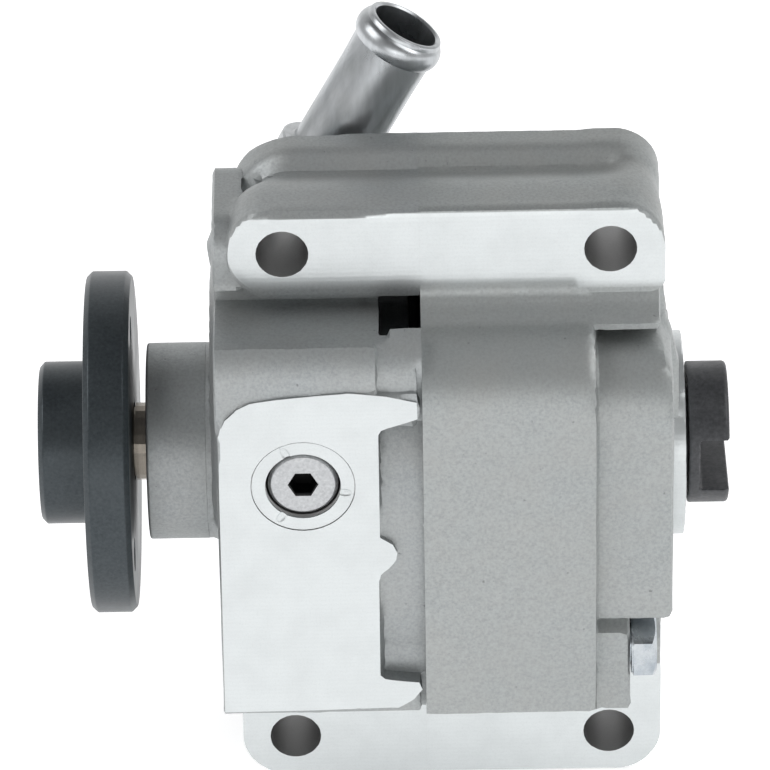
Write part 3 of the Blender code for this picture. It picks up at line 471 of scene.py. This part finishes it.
# ================================================================= front casting
def front_cavity(x, y, z):
    r = np.hypot(y, z)
    c = bores(x, r, (30.0, 35.7, 17.8), (30.0, 44.0, 13.3), (40.0, 78.0, 9.4), (70.0, 90.0, 12.5))
    c = amin(c, amax(np.abs(r - 33.6) - 1.4, 74.0 - x))
    rv = np.hypot(x - VX, z - VZ)
    c = amin(c, amax(rv - 7.3, y + 10.0))
    c = amin(c, amax(rv - 10.2, y + 39.5))
    c = amin(c, amax(rv - 8.3 + 1.1 * (y + 39.5), y + 38.6))
    c = amin(c, amax(np.hypot(y + 16.0, z - 16.0) - 3.0, 54.0 - x))
    ro = np.hypot(x - VX, y + 30.8)
    c = amin(c, amax(ro - 3.0, z - 9.0), amax(ro - 7.2, z + 26.5))
    for lx, lz in LUGS:
        if lx < SEAM:
            c = amin(c, np.hypot(x - lx, z - lz) - 5.1)
    for by, bz in BOLTS:
        c = amin(c, amax(np.hypot(y - by, z - bz) - 4.3, 59.0 - x))
    t, rp = along_pipe(x, y, z)
    c = amin(c, bores(t, rp, (-66.0, -46.0, 5.6), (-46.5, -20.0, 8.3), (-44.6, -41.8, 10.4), (-35.2, -8.0, 12.6)))
    sy, sz = 27.5 * math.cos(math.radians(52)), 27.5 * math.sin(math.radians(52))
    return amin(c, amax(np.hypot(y - sy, z - sz) - 4.2, 41.0 - x))


def valley(y):
    """Depth of the shallow valley that runs round a lug bar: slow at the front, steep at the back."""
    return 2.9 * np.exp(-(((y + 2.5) / np.where(y < -2.5, 6.2, 2.6)) ** 2))


def lug_bar(x, y, z, x0, x1, z0, z1, radii, low, high, plump=0.0):
    """A lug bar with a valley round its rim; low and high are the cast radii of its lower and upper edges."""
    flat = rrect(x, z, x0, x1, z0, z1, radii) + valley(y) + plump
    mid = (z0 + z1) / 2
    e = low + (high - low) * ease(mid - 3, mid + 5, z)
    a, b = flat + e, np.abs(y + 7.45) - 15.95 + e
    return np.minimum(np.maximum(a, b), 0) + np.hypot(np.maximum(a, 0), np.maximum(b, 0)) - e


def upper_bar(x, y, z):
    """The upper lug bar as cast: its front is a flat stadium, and leans back below and left of it."""
    back = ease(-12.0, 4.0, y)
    step = ease(106.2, 107.2, x)
    right_ = ease(107.0, 112.0, x)
    flat = rrect(x, z, 38.8, 123.9, 45.6 + 1.0 * step, 66.3, (10.0, 3.0, 9.0, 8.5 + 5.5 * back))
    flat = flat + valley(y) * (1.0 - 0.8 * ease(112.0, 121.0, x)) + 0.28 * (1.0 - right_)
    s = np.where(x < 47.2, np.hypot(x - 47.2, np.where(z < 58.2, 1.27, 1.0) * (z - 58.2)), np.where(z < 58.2, 1.27 * (58.2 - z), 0.0)) - 8.4 - 1.5 * step
    s = np.maximum(s, 0.0)
    front_y = -23.0 + s * s / 46.0
    e = np.where(z > 58.0, 2.2 - 0.8 * ease(62.0, 72.0, x) - 1.2 * (1.0 - ease(43.0, 50.0, x)), 0.7)
    a = flat + e
    b = np.maximum(front_y - y, y - 8.5) + e
    return np.minimum(np.maximum(a, b), 0) + np.hypot(np.maximum(a, 0), np.maximum(b, 0)) - e


def front_sdf(x, y, z):
    flat = rrect(y, z, -39.5, 36.0, -40.8, 46.5, (2.0, 14, 14, 12))
    d = slab(flat, x, 36.0, 84.0, 0.8, 0.0)
    recess = smax(smax(67.9 - x, np.abs(z + 2.8) - 29.8, 1.2), np.maximum(y + 18.0, 39.0 - np.hypot(y, np.where(z < 0, 0.5, 0.9) * z)), 1.6)
    d = smax(d, -recess, 1.2)
    d = smax(d, -amax(67.6 - x, 34.8 - z, y + 15.0, -flat - 0.9), 0.5)
    d = smax(d, -amax(75.3 - x, y + 37.2, 26.0 - np.abs(z)), 0.6)
    d = smin(d, amax(np.hypot(y + 30.5, z + 30.0) - 6.4, 58.0 - x), 1.8)
    wall = slab(rrect(y, z, -21.0, 8.1, 30.0, 61.2, (1, 1, 6.5, 6.5)), x, 36.0, 41.8, 1.3, 1.0)
    d = amax(smin(d, wall, 3.0), 36.0 - x)
    neck = amax(rrect(y, z, -12.0, 7.7, 40.0, 58.0, (1, 1, 1, 1)), 40.0 - x)
    d = smin(d, neck, 2.0)
    d = smin(d, slab(np.hypot(y, z) - 19.7, x, 33.4, 42.0, 0.0, 0.0), 2.2)
    d = amax(d, 33.4 - x)
    d = smin(d, slab(np.hypot(y + 4.0, z - 15.0) - 11.5, x, 34.8, 40.0, 0.7, 0.0), 1.4)
    d = smin(d, amax(0.32 * (np.hypot(y + 6.0, z - 15.0) - 28.0 + 3.0 * np.maximum(36.0 - x, 0.0)), 34.9 - x, x - 40.0), 1.0)
    d = smax(d, -amax(30.0 - x, x - 70.0, y + 17.5, 43.4 - z, z - 47.2), 0.8)
    d = smin(d, upper_bar(x, y, z), 0.8)
    d = smax(d, -amax(rrect(x, y, 68.2, 90.0, -31.5, -2.0, (0.6, 0.6, 0.6, 0.6)), 33.0 - z, z - 46.2), 0.4)
    t, rp = along_pipe(x, y, z)
    d = smin(d, slab(rp - 12.0, t, -62.0, -35.2, 0.0, 0.8), 3.0)
    low = lug_bar(x, y, z, 39.3, 90.0, -66.1, -25.0, (9.4, 0.5, 0.5, 2.0), 0.9, 0.9)
    d = smin(d, low, 1.6)
    d = d + swell(x, y, z)
    pad = slab(poly(x, z, PAD), y, -40.8, -34.0, 0.3, 0.0)
    d = smin(d, pad, 0.5)
    d = amax(d, -40.0 - y, x - (SEAM + 0.13), -66.2 - z, z - 66.3)
    return amax(d, bar_face(y, z), -front_cavity(x, y, z))


# ================================================================= rear casting
def rear_cavity(x, y, z):
    r = np.hypot(y, z)
    c = bores(x, r, (60.0, 110.0, 31.0), (105.0, 130.0, 10.3), (120.4, 140.0, 13.3))
    for lx, lz in LUGS:
        if lx > SEAM:
            c = amin(c, np.hypot(x - lx, z - lz) - 5.1)
    for by, bz in BOLTS:
        c = amin(c, amax(np.hypot(y - by, z - bz) - 4.3, x - 118.0))
    return c


def rear_sdf(x, y, z):
    flat = rrect(y, z, -41.0, 36.0, -40.3, 42.8, (1.5, 14, 16, 16))
    d = slab(flat, x, 66.0, 110.2, 0.0, 1.5)
    web = slab(poly(y, z, [(-39.6, -39.9), (-38.8, -37.4), (-36.9, -31.0), (-36.2, -24.0), (-33.0, -21.0), (-12.5, -21.0), (-12.5, 38.0), (-8.0, 40.0), (22.0, 40.0), (35.0, 28.0), (35.6, -26.0), (24.0, -39.9)]), x, 96.0, 117.0, 0.0, 0.9)
    d = smin(d, web, 0.9)
    boss = smin(np.hypot(y + 3.0, z + 2.0) - 33.0, rrect(y, z, -36.8, -4.0, -20.8, 38.2, (1.5, 0.5, 0.5, 15.5)), 1.0)
    d = smin(d, smax(slab(boss, x, 96.0, 125.6, 0.0, 1.9), x - 125.6 + 0.5 * np.maximum(z - 32.5, 0.0), 1.0), 1.3)
    neck = amax(rrect(y, z, -12.0, 7.7, 26.0, 56.0, (1, 1, 1, 1)), x - 116.9)
    d = smin(d, neck, 2.0)
    flare = slab(poly(y, z, [(-22.4, 47.6), (-24.3, 45.0), (-27.6, 42.5), (-27.3, 41.0), (-22.0, 40.2), (-11.2, 38.6), (-11.2, 47.6)]), x, 62.0, 122.9, 0.0, 1.2)
    d = smin(d, flare, 0.5)
    d = smin(d, upper_bar(x, y, z), 1.0)
    low = lug_bar(x, y, z, 62.0, 123.7, -66.2, -25.0, (0.5, 9.4, 2.0, 0.5), 0.9, 0.9)
    d = smin(d, low, 1.6)
    rib = slab(poly(x, z, [(112.0, 12.0), (127.2, 12.0), (127.2, 26.0), (126.2, 30.0), (125.2, 33.0), (124.5, 36.0), (124.1, 42.5), (123.4, 49.5), (112.0, 49.5)]), y, -16.0, -12.3, 0.7, 0.7)
    d = smin(d, rib, 1.6)
    d = d + swell(x, y, z)
    d = amin(d, slab(np.hypot(y, z) - 20.5, x, 115.0, 128.6, 0.0, 0.6))
    spot = amax(amin(np.hypot(y + 30.5, z + 30.0), np.hypot(y + 3.0, z - 40.0)) - 8.4, 117.0 - x)
    return amax(d, -41.0 - y, (SEAM + 0.14) - x, -66.2 - z, z - 66.3, -spot, bar_face(y, z), -rear_cavity(x, y, z))


H = 1.25
front = contour("front_casting", front_sdf, (32.6, -41.0, -67.2), (77.2, 37.0, 67.2), H)
rear = contour("rear_casting", rear_sdf, (75.6, -42.0, -67.2), (129.4, 37.0, 67.2), H)

FACED = (0.665, 0.695, 0.70)
cast_f = cast_look("cast_aluminium_front", (0.375, 0.395, 0.40), (0.415, 0.412, 0.395), FACED)
cast_r = cast_look("cast_aluminium_rear", (0.375, 0.395, 0.395), (0.415, 0.412, 0.395), FACED)
milled = milled_look("milled_face", FACED, "Z")
bored = milled_look("bored_face", (0.42, 0.42, 0.42), "Y", 0.0003)

c, g = face_centres(front)
kind = np.zeros(len(c), int)
kind[front_cavity(c[:, 0], c[:, 1], c[:, 2]) < 0.06] = 2
kind[(np.abs(c[:, 1] + 40.0) < 0.03) & (g[:, 1] < -0.98)] = 1
kind[c[:, 0] > SEAM + 0.05] = 1
for mat_ in (cast_f, milled, bored):
    front.data.materials.append(mat_)
set_faces(front, kind)

c, g = face_centres(rear)
kind = np.zeros(len(c), int)
kind[rear_cavity(c[:, 0], c[:, 1], c[:, 2]) < 0.06] = 2
rr = np.hypot(c[:, 1], c[:, 2])
kind[(c[:, 0] > 125.8) & (rr < 20.8)] = 1
kind[(np.abs(c[:, 0] - 117.0) < 0.03) & (amin(np.hypot(c[:, 1] + 30.5, c[:, 2] + 30.0), np.hypot(c[:, 1] + 3.0, c[:, 2] - 40.0)) < 8.5)] = 1
for mat_ in (cast_r, milled, bored):
    rear.data.materials.append(mat_)
set_faces(rear, kind)
for piece, side_, slot in ((front, "front", "cast_front"), (rear, "rear", "cast_rear")):
    shade(piece, 30.0)
    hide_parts(side_ + "_housing", side_ + "_upper_lug", side_ + "_lower_lug")
    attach(piece, "housing")


# ================================================================= turned pieces
def rounded_path(pts, seg=5):
    """A section [(x, r, radius), ...] with its corners rounded, open at both ends."""
    out = []
    for i, q in enumerate(pts):
        rad = q[2] if len(q) > 2 else 0.0
        p = Vector(q[:2])
        if rad <= 0 or i in (0, len(pts) - 1):
            out.append((p.x, p.y))
            continue
        a, b = Vector(pts[i - 1][:2]) - p, Vector(pts[i + 1][:2]) - p
        a.normalize()
        b.normalize()
        half = math.acos(max(-1.0, min(1.0, a.dot(b)))) / 2
        d = rad / math.tan(half)
        s, e = p + a * d, p + b * d
        for k in range(seg + 1):
            t = k / seg
            m = s.lerp(p, t).lerp(p.lerp(e, t), t)
            out.append((m.x, m.y))
    return out


def lathe(name, section, n=128, closed=False):
    """A section (x, r) turned about X; points with r = 0 lie on the axis."""
    bm = bmesh.new()
    rings = []
    for x, r in section:
        if r <= 1e-6:
            rings.append([bm.verts.new((x * MM, 0, 0))])
        else:
            rings.append([bm.verts.new((x * MM, r * MM * math.cos(t), r * MM * math.sin(t))) for t in (2 * math.pi * k / n for k in range(n))])
    m = len(rings)
    for i in range(m if closed else m - 1):
        a, b = rings[i], rings[(i + 1) % m]
        for k in range(n):
            j = (k + 1) % n
            if len(a) == 1 and len(b) == 1:
                continue
            if len(a) == 1:
                bm.faces.new((a[0], b[j], b[k]))
            elif len(b) == 1:
                bm.faces.new((a[k], a[j], b[0]))
            else:
                bm.faces.new((a[k], a[j], b[j], b[k]))
    bmesh.ops.recalc_face_normals(bm, faces=bm.faces[:])
    me = bpy.data.meshes.new(name)
    bm.to_mesh(me)
    bm.free()
    ob = bpy.data.objects.new(name, me)
    SCENE.objects.link(ob)
    return ob


def prism(name, pts, x0, x1):
    bm = bmesh.new()
    a = [bm.verts.new((x0 * MM, y * MM, z * MM)) for y, z in pts]
    b = [bm.verts.new((x1 * MM, y * MM, z * MM)) for y, z in pts]
    n = len(pts)
    for k in range(n):
        bm.faces.new((a[k], a[(k + 1) % n], b[(k + 1) % n], b[k]))
    bm.faces.new(a)
    bm.faces.new(b)
    bmesh.ops.recalc_face_normals(bm, faces=bm.faces[:])
    me = bpy.data.meshes.new(name)
    bm.to_mesh(me)
    bm.free()
    ob = bpy.data.objects.new(name, me)
    SCENE.objects.link(ob)
    return ob


def boolean(ob, other, operation):
    m = ob.modifiers.new(operation, "BOOLEAN")
    m.operation, m.solver, m.object = operation, "EXACT", other
    dg = bpy.context.evaluated_depsgraph_get()
    me = bpy.data.meshes.new_from_object(ob.evaluated_get(dg))
    ob.modifiers.clear()
    ob.data = me
    gone = other.data
    bpy.data.objects.remove(other, do_unlink=True)
    bpy.data.meshes.remove(gone)


def turn(ob, matrix):
    ob.data.transform(matrix)
    ob.data.update()
    return ob


def dress(ob, look_, body, node=None, angle=32.0):
    ob.data.materials.clear()
    ob.data.materials.append(look_)
    shade(ob, angle)
    if node:
        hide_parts(node)
    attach(ob, body)
    return ob


def circle(r, n, u=0.0, v=0.0, phase=0.07):
    return [(u + r * math.cos(t), v + r * math.sin(t)) for t in (phase + 2 * math.pi * k / n for k in range(n))]


# ----------------------------------------------------------------- shaft nose of the front casting
nose = lathe(
    "nose_turned",
    rounded_path([(22.4, 17.82), (21.6, 18.5, 0.2), (21.6, 19.7, 0.6), (33.45, 19.7), (33.45, 17.82), (25.0, 17.82), (25.0, 18.72), (23.4, 18.72), (23.4, 17.82)], 5),
    160,
    closed=True,
)
dress(nose, cast_f, "housing", None)

# ----------------------------------------------------------------- drive hub
hub_section = rounded_path(
    [
        (0.6, 7.35), (0.0, 8.0), (0.0, 15.2, 0.5), (1.0, 16.3, 0.5), (9.8, 16.3, 0.6), (9.8, 33.2, 0.3), (10.9, 34.3, 0.5),
        (17.7, 34.3, 0.5), (18.8, 33.2, 0.3), (18.8, 8.0), (18.2, 7.35),
    ],
    4,
)
hub = lathe("hub_turned", hub_section, 144, closed=True)
for a in (90, 210, 330):
    t = math.radians(a)
    y_, z_ = 25.5 * math.cos(t), 25.5 * math.sin(t)
    boolean(hub, prism("cutter", circle(3.4, 32, y_, z_), 5.0, 22.0), "DIFFERENCE")

k = Look("black_oxide_hub", (0.046, 0.055, 0.061), 0.36, 0.55)
fine, cloud = k.noise(1500.0, 3.0, 0.6), k.noise(60.0, 3.0, 0.6)
turned_ = k.node("ShaderNodeTexNoise")
turned_.inputs["Scale"].default_value = 1400.0
turned_.inputs["Detail"].default_value = 1.0
mp = k.node("ShaderNodeMapping")
mp.inputs["Scale"].default_value = (1.0, 0.02, 0.02)
k.link(k.coord, mp.inputs["Vector"])
k.link(mp.outputs["Vector"], turned_.inputs["Vector"])
c_ = k.ramp(fine, (0.3, (0.034, 0.042, 0.048)), (0.7, (0.056, 0.068, 0.075)))
c_ = k.mix(k.ramp(cloud, (0.4, 0.0), (0.8, 0.5)), c_, (0.072, 0.084, 0.090))
k.colour(c_)
k.roughness(k.ramp(cloud, (0.3, 0.30), (0.7, 0.44)))
k.normal(k.bump(turned_.outputs["Fac"], 0.10, 0.00003, k.bump(fine, 0.16, 0.00005)))
hub_look = k.m
dress(hub, hub_look, "shaft", "drive_hub")

# ----------------------------------------------------------------- drive dog
def dog_sdf(x, y, z):
    r = np.hypot(y, z)
    d = slab(r - 14.2, x, 129.5, 137.6, 0.5, 0.9)
    slot_ = slab(np.abs(z) - 5.7, x, 131.7, 150.0, 0.7, 0.0)
    d = smax(d, -slot_, 0.5)
    d = amin(d, slab(r - 8.9, x, 119.3, 132.0, 0.3, 0.0))
    return amax(d, -amax(r - 6.3, x - 128.5), -(np.hypot(x - 124.0, y) - 1.5))


dog = contour("dog_milled", dog_sdf, (118.6, -14.8, -14.8), (138.4, 14.8, 14.8), 0.42)
k = Look("black_oxide_dog", (0.045, 0.047, 0.055), 0.42, 0.35)
fine, cloud = k.noise(1300.0, 4.0, 0.6), k.noise(190.0, 3.0, 0.6)
c_ = k.ramp(fine, (0.3, (0.042, 0.044, 0.048)), (0.7, (0.080, 0.082, 0.088)))
k.colour(k.mix(k.ramp(cloud, (0.5, 0.0), (0.8, 0.5)), c_, (0.095, 0.098, 0.102)))
k.roughness(k.ramp(cloud, (0.3, 0.34), (0.7, 0.55)))
k.normal(k.bump(fine, 0.25, 0.00008))
dress(dog, k.m, "shaft", "drive_dog")

# ----------------------------------------------------------------- suction pipe
TAIL = -45.5
pipe_section = [(TAIL, 6.6), (TAIL, 7.4), (TAIL + 0.6, 8.0), (-34.9, 8.0), (-34.9, 10.1), (-34.6, 10.4), (-32.5, 10.4), (-32.1, 10.0), (-32.1, 8.7), (-31.6, 8.15), (-30.9, 8.0)]
pipe_section += [(-12.0, 8.0)]
pipe_section += [(-3.5 + 2.3 * math.cos(a), 8.0 + 1.1 * math.sin(a) ** 1.3) for a in (math.pi * (1 - j / 14) for j in range(1, 14))]
pipe_section += [(-1.1, 8.0), (-0.6, 7.95), (-0.2, 7.75), (0.0, 7.4), (0.0, 7.0), (-0.35, 6.65), (-1.2, 6.6), (-20.0, 6.6)]
pipe = lathe("pipe_formed", pipe_section, 112, closed=True)
turn(pipe, Matrix.Translation(Vector(MOUTH) * MM) @ Vector((1, 0, 0)).rotation_difference(Vector(DIR)).to_matrix().to_4x4())
k = Look("zinc_plated_tube", (0.5, 0.52, 0.53), 0.30, 1.0)
streak = k.noise(420.0, 4.0, 0.6, stretch=(1.0, 1.0, 0.12))
cloud, fine = k.noise(70.0, 4.0, 0.6), k.noise(1900.0, 3.0, 0.6)
c_ = k.ramp(streak, (0.3, (0.40, 0.42, 0.43)), (0.7, (0.56, 0.58, 0.60)))
c_ = k.mix(k.ramp(cloud, (0.45, 0.0), (0.8, 0.35)), c_, (0.48, 0.48, 0.46))
k.colour(c_)
k.roughness(k.ramp(cloud, (0.3, 0.25), (0.7, 0.36)))
k.normal(k.bump(streak, 0.10, 0.00005, k.bump(fine, 0.08, 0.00003)))
dress(pipe, k.m, "housing", "inlet_pipe")

# ----------------------------------------------------------------- staked plug and its seat
def across_y(ob, y0):
    """Turns a piece made about X to lie along Y at the plug's axis."""
    return turn(ob, Matrix.Translation(Vector((VX, y0, VZ)) * MM) @ Matrix.Rotation(math.pi / 2, 4, "Z"))


plug = lathe("plug_turned", rounded_path([(0.0, 0.0), (0.0, 6.2, 0.3), (0.7, 6.9, 0.3), (5.65, 6.9), (5.65, 0.0)], 4), 96)
boolean(plug, prism("cutter", [(2.6 / math.cos(math.pi / 6) * math.cos(t), 2.6 / math.cos(math.pi / 6) * math.sin(t)) for t in (math.pi / 3 * q for q in range(6))], -1.0, 4.6), "DIFFERENCE")
across_y(plug, -39.25)
k = Look("turned_plug", (0.42, 0.42, 0.42), 0.34, 0.9)
fine, cloud = k.noise(1500.0, 4.0, 0.6), k.noise(240.0, 3.0, 0.6)
c_ = k.ramp(fine, (0.3, (0.40, 0.41, 0.42)), (0.7, (0.56, 0.57, 0.58)))
y_axis = k.axis("Y")
# painted shade: the hex socket is coloured near-black from about 1.5 mm in, standing in for the shadow inside it
painted_socket_shade = k.map(y_axis, -0.0388, -0.0378, 0.0, 1.0)
k.colour(k.mix(painted_socket_shade, c_, (0.02, 0.02, 0.02)))
k.roughness(k.ramp(cloud, (0.3, 0.28), (0.7, 0.45)))
k.normal(k.bump(fine, 0.2, 0.00006))
dress(plug, k.m, "housing", "valve_plug")


def seat_sdf(x, y, z):
    dx, dz = x - VX, z - VZ
    r = np.hypot(dx, dz)
    d = slab(np.abs(r - 8.72) - 1.34, y, -39.92, -39.42, 0.12, 0.0)
    for deg in (114.0, -11.0, 238.0):
        a = math.radians(deg)
        u, v = dx * math.cos(a) + dz * math.sin(a), -dx * math.sin(a) + dz * math.cos(a)
        d = smax(d, -(np.sqrt(((u - 8.2) / 1.5) ** 2 + (v / 0.85) ** 2 + ((y + 40.0) / 0.5) ** 2) - 1.0) * 0.5, 0.1)
    return d


seat = contour("plug_seat", seat_sdf, (VX - 10.6, -40.1, VZ - 10.6), (VX + 10.6, -39.3, VZ + 10.6), 0.22)
dress(seat, milled, "housing", None)

# ----------------------------------------------------------------- housing bolts
k = Look("zinc_bolt", (0.50, 0.53, 0.56), 0.24, 1.0)
fine, cloud = k.noise(1600.0, 3.0, 0.6), k.noise(260.0, 3.0, 0.6)
c_ = k.ramp(cloud, (0.3, (0.36, 0.40, 0.44)), (0.7, (0.56, 0.59, 0.61)))
k.colour(k.mix(k.ramp(fine, (0.35, 0.25), (0.55, 0.0)), c_, (0.30, 0.33, 0.35)))
k.roughness(k.ramp(cloud, (0.3, 0.18), (0.7, 0.32)))
k.normal(k.bump(fine, 0.12, 0.00005))
bolt_look = k.m
HEAD = [(6.5 / math.cos(math.pi / 6) * math.cos(t), 6.5 / math.cos(math.pi / 6) * math.sin(t)) for t in (math.pi / 6 + math.pi / 3 * q for q in range(6))]
for i, (by, bz) in enumerate(BOLTS):
    b = prism("bolt_%d" % (i + 1), HEAD, 0.65, 5.3)
    boolean(b, lathe("trim", [(0.0, 0.0), (0.0, 6.9), (0.9, 7.6), (4.3, 7.55), (5.3, 6.1), (5.3, 0.0)], 72), "INTERSECT")
    boolean(b, lathe("shank", [(-57.0, 0.0), (-57.0, 3.2), (-56.2, 4.0), (0.3, 4.0), (0.3, 6.2), (1.2, 6.2), (1.2, 0.0)], 40), "UNION")
    boolean(b, lathe("dish", [(4.95, 0.0), (4.95, 3.9), (5.6, 4.7), (5.6, 0.0)], 48), "DIFFERENCE")
    turn(b, Matrix.Translation(Vector((117.0, by, bz)) * MM))
    dress(b, bolt_look, "housing", "housing_bolt_%d" % (i + 1), 25.0)


# ================================================================= materials of the pieces kept from the frame
def steel_look(name, lo, hi, rough, metal=1.0, stretch=None, scale=1200.0, bump=0.12):
    k = Look(name, hi, rough, metal)
    f, cl = k.noise(scale, 4.0, 0.6, stretch=stretch), k.noise(150.0, 3.0, 0.6)
    k.colour(k.mix(k.ramp(cl, (0.4, 0.0), (0.8, 0.3)), k.ramp(f, (0.3, lo), (0.7, hi)), tuple(v * 0.8 for v in lo)))
    k.roughness(k.ramp(cl, (0.3, rough * 0.8), (0.7, rough * 1.3)))
    k.normal(k.bump(f, bump, 0.00005))
    return k.m


LOOKS = {
    "shaft_steel": steel_look("ground_shaft", (0.24, 0.215, 0.185), (0.33, 0.30, 0.26), 0.22, stretch=(1.0, 0.05, 0.05)),
    "bearing_steel": steel_look("bearing_race", (0.55, 0.55, 0.56), (0.70, 0.70, 0.71), 0.14, bump=0.04),
    "ground_steel": steel_look("ground_steel", (0.42, 0.42, 0.43), (0.58, 0.58, 0.59), 0.26),
    "spring_steel": steel_look("spring_steel", (0.22, 0.22, 0.23), (0.36, 0.36, 0.37), 0.32),
    "bronze": steel_look("bush_bronze", (0.45, 0.30, 0.15), (0.60, 0.42, 0.22), 0.38),
    "cage_brass": steel_look("cage_brass", (0.50, 0.40, 0.22), (0.66, 0.55, 0.33), 0.36),
    "seal_rubber": steel_look("seal_rubber", (0.014, 0.014, 0.014), (0.030, 0.030, 0.031), 0.6, 0.0, scale=900.0, bump=0.2),
}
LOOKS.update(
    hub_steel=hub_look, dog_steel=dog.data.materials[0], plated_steel=pipe.data.materials[0], plug_steel=plug.data.materials[0],
    bolt_zinc=bolt_look, cast_front=cast_f, cast_rear=cast_r,
)


# ----------------------------------------------------------------- valve spring, a coil at one fixed length
def coil(name, r, wire, y0, y1, turns, per_turn, sides):
    bm = bmesh.new()
    n, dead, end = int(turns * per_turn), 1.0 / turns, 2.3 * wire
    rings = []
    for i in range(n + 1):
        f = i / n
        t = 2 * math.pi * turns * f
        g = min(max((f - dead) / (1 - 2 * dead), 0.0), 1.0)
        y = y0 + wire + end * min(f / dead, 1.0) + (y1 - y0 - 2 * wire - 2 * end) * g + end * max((f - 1 + dead) / dead, 0.0)
        row = []
        for q in range(sides):
            a = 2 * math.pi * q / sides
            rr_ = r + wire * math.cos(a)
            row.append(bm.verts.new(((VX + rr_ * math.cos(t)) * MM, (y + wire * math.sin(a)) * MM, (VZ + rr_ * math.sin(t)) * MM)))
        rings.append(row)
    for lo_, hi_ in zip(rings, rings[1:]):
        for q in range(sides):
            bm.faces.new((lo_[q], lo_[(q + 1) % sides], hi_[(q + 1) % sides], hi_[q]))
    bm.faces.new(rings[0])
    bm.faces.new(rings[-1])
    bmesh.ops.recalc_face_normals(bm, faces=bm.faces)
    mesh = bpy.data.meshes.new(name)
    bm.to_mesh(mesh)
    bm.free()
    ob = bpy.data.objects.new(name, mesh)
    SCENE.objects.link(ob)
    return ob


coil_piece = coil("valve_coil", 5.0, 0.5, -33.3, -21.7, 4.5, 40, 12)
dress(coil_piece, LOOKS["spring_steel"], "housing", "valve_spring")
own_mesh(coil_piece)

slot_of = {s["node"]: s["material_slot"] for s in frame["record"]["subparts"]}
for node_name, ob in frame["nodes"].items():
    for one in ob if isinstance(ob, (list, tuple)) else (ob,):
        for s in one.material_slots:
            s.material = LOOKS[slot_of[node_name]]

# ================================================================= floor, light
LOW = CAD_BOX[0][2] if not hasattr(CAD_BOX[0], "z") else CAD_BOX[0].z
bm = bmesh.new()
rows = []
for j in range(25):
    y_ = -2.6 + 0.22 * j
    z_ = LOW - 0.0002
    rows.append([bm.verts.new((-2.6 + 0.22 * i, y_, z_)) for i in range(25)])
for j in range(24):
    for i in range(24):
        bm.faces.new((rows[j][i], rows[j][i + 1], rows[j + 1][i + 1], rows[j + 1][i]))
me = bpy.data.meshes.new("floor")
bm.to_mesh(me)
bm.free()
floor = bpy.data.objects.new("floor", me)
SCENE.objects.link(floor)
k = Look("pale_floor", (0.93, 0.93, 0.935), 0.9, 0.0)
k.colour(k.ramp(k.noise(3.0, 2.0, 0.5), (0.2, (0.925, 0.925, 0.93)), (0.8, (0.94, 0.94, 0.945))))
k.p.inputs["Emission Color"].default_value = (1, 1, 1, 1)
k.p.inputs["Emission Strength"].default_value = 0.56
floor.data.materials.append(k.m)


def area(name, size, power, position, target=(0.07, 0.0, 0.0), colour=(1, 1, 1)):
    data = bpy.data.lights.new(name, "AREA")
    data.shape, data.size, data.size_y = "RECTANGLE", size[0], size[1]
    data.energy, data.color = power, colour
    ob = bpy.data.objects.new(name, data)
    SCENE.objects.link(ob)
    d = Vector(target) - Vector(position)
    ob.matrix_world = Matrix.Translation(position) @ d.to_track_quat("-Z", "Y").to_matrix().to_4x4()
    return ob


area("front_soft", (1.6, 0.5), 4.0, (0.1, -1.6, 0.30))
area("left_soft", (1.1, 1.1), 9.0, (-1.05, -0.15, 1.15))
area("right_soft", (1.1, 1.1), 9.0, (1.2, -0.15, 1.15))

world = bpy.data.worlds.new("studio")
bpy.context.scene.world = world
world.use_nodes = True
nt = world.node_tree
bg = nt.nodes["Background"]
tc = nt.nodes.new("ShaderNodeTexCoord")
sp = nt.nodes.new("ShaderNodeSeparateXYZ")
rp = nt.nodes.new("ShaderNodeValToRGB")
nt.links.new(tc.outputs["Generated"], sp.inputs[0])
mr = nt.nodes.new("ShaderNodeMapRange")
mr.inputs[1].default_value, mr.inputs[2].default_value = -1.0, 1.0
nt.links.new(sp.outputs["Z"], mr.inputs[0])
nt.links.new(mr.outputs[0], rp.inputs["Fac"])
el = rp.color_ramp.elements
el[0].position, el[0].color = 0.0, (0.9, 0.9, 0.9, 1)
el[1].position, el[1].color = 1.0, (0.15, 0.15, 0.155, 1)
for pos, v in ((0.5, 0.60), (0.60, 0.50), (0.75, 0.38), (0.84, 0.28), (0.93, 0.20)):
    e = el.new(pos)
    e.color = (v, v, v, 1)
back = nt.nodes.new("ShaderNodeMapRange")
back.interpolation_type = "SMOOTHSTEP"
for i, v in zip((1, 2, 3, 4), (0.50, 0.95, 0.0, 0.55)):
    back.inputs[i].default_value = v
nt.links.new(sp.outputs["Y"], back.inputs[0])
both = nt.nodes.new("ShaderNodeVectorMath")
both.operation = "ADD"
nt.links.new(rp.outputs["Color"], both.inputs[0])
nt.links.new(back.outputs[0], both.inputs[1])
nt.links.new(both.outputs[0], bg.inputs["Color"])
bg.inputs["Strength"].default_value = 1.0
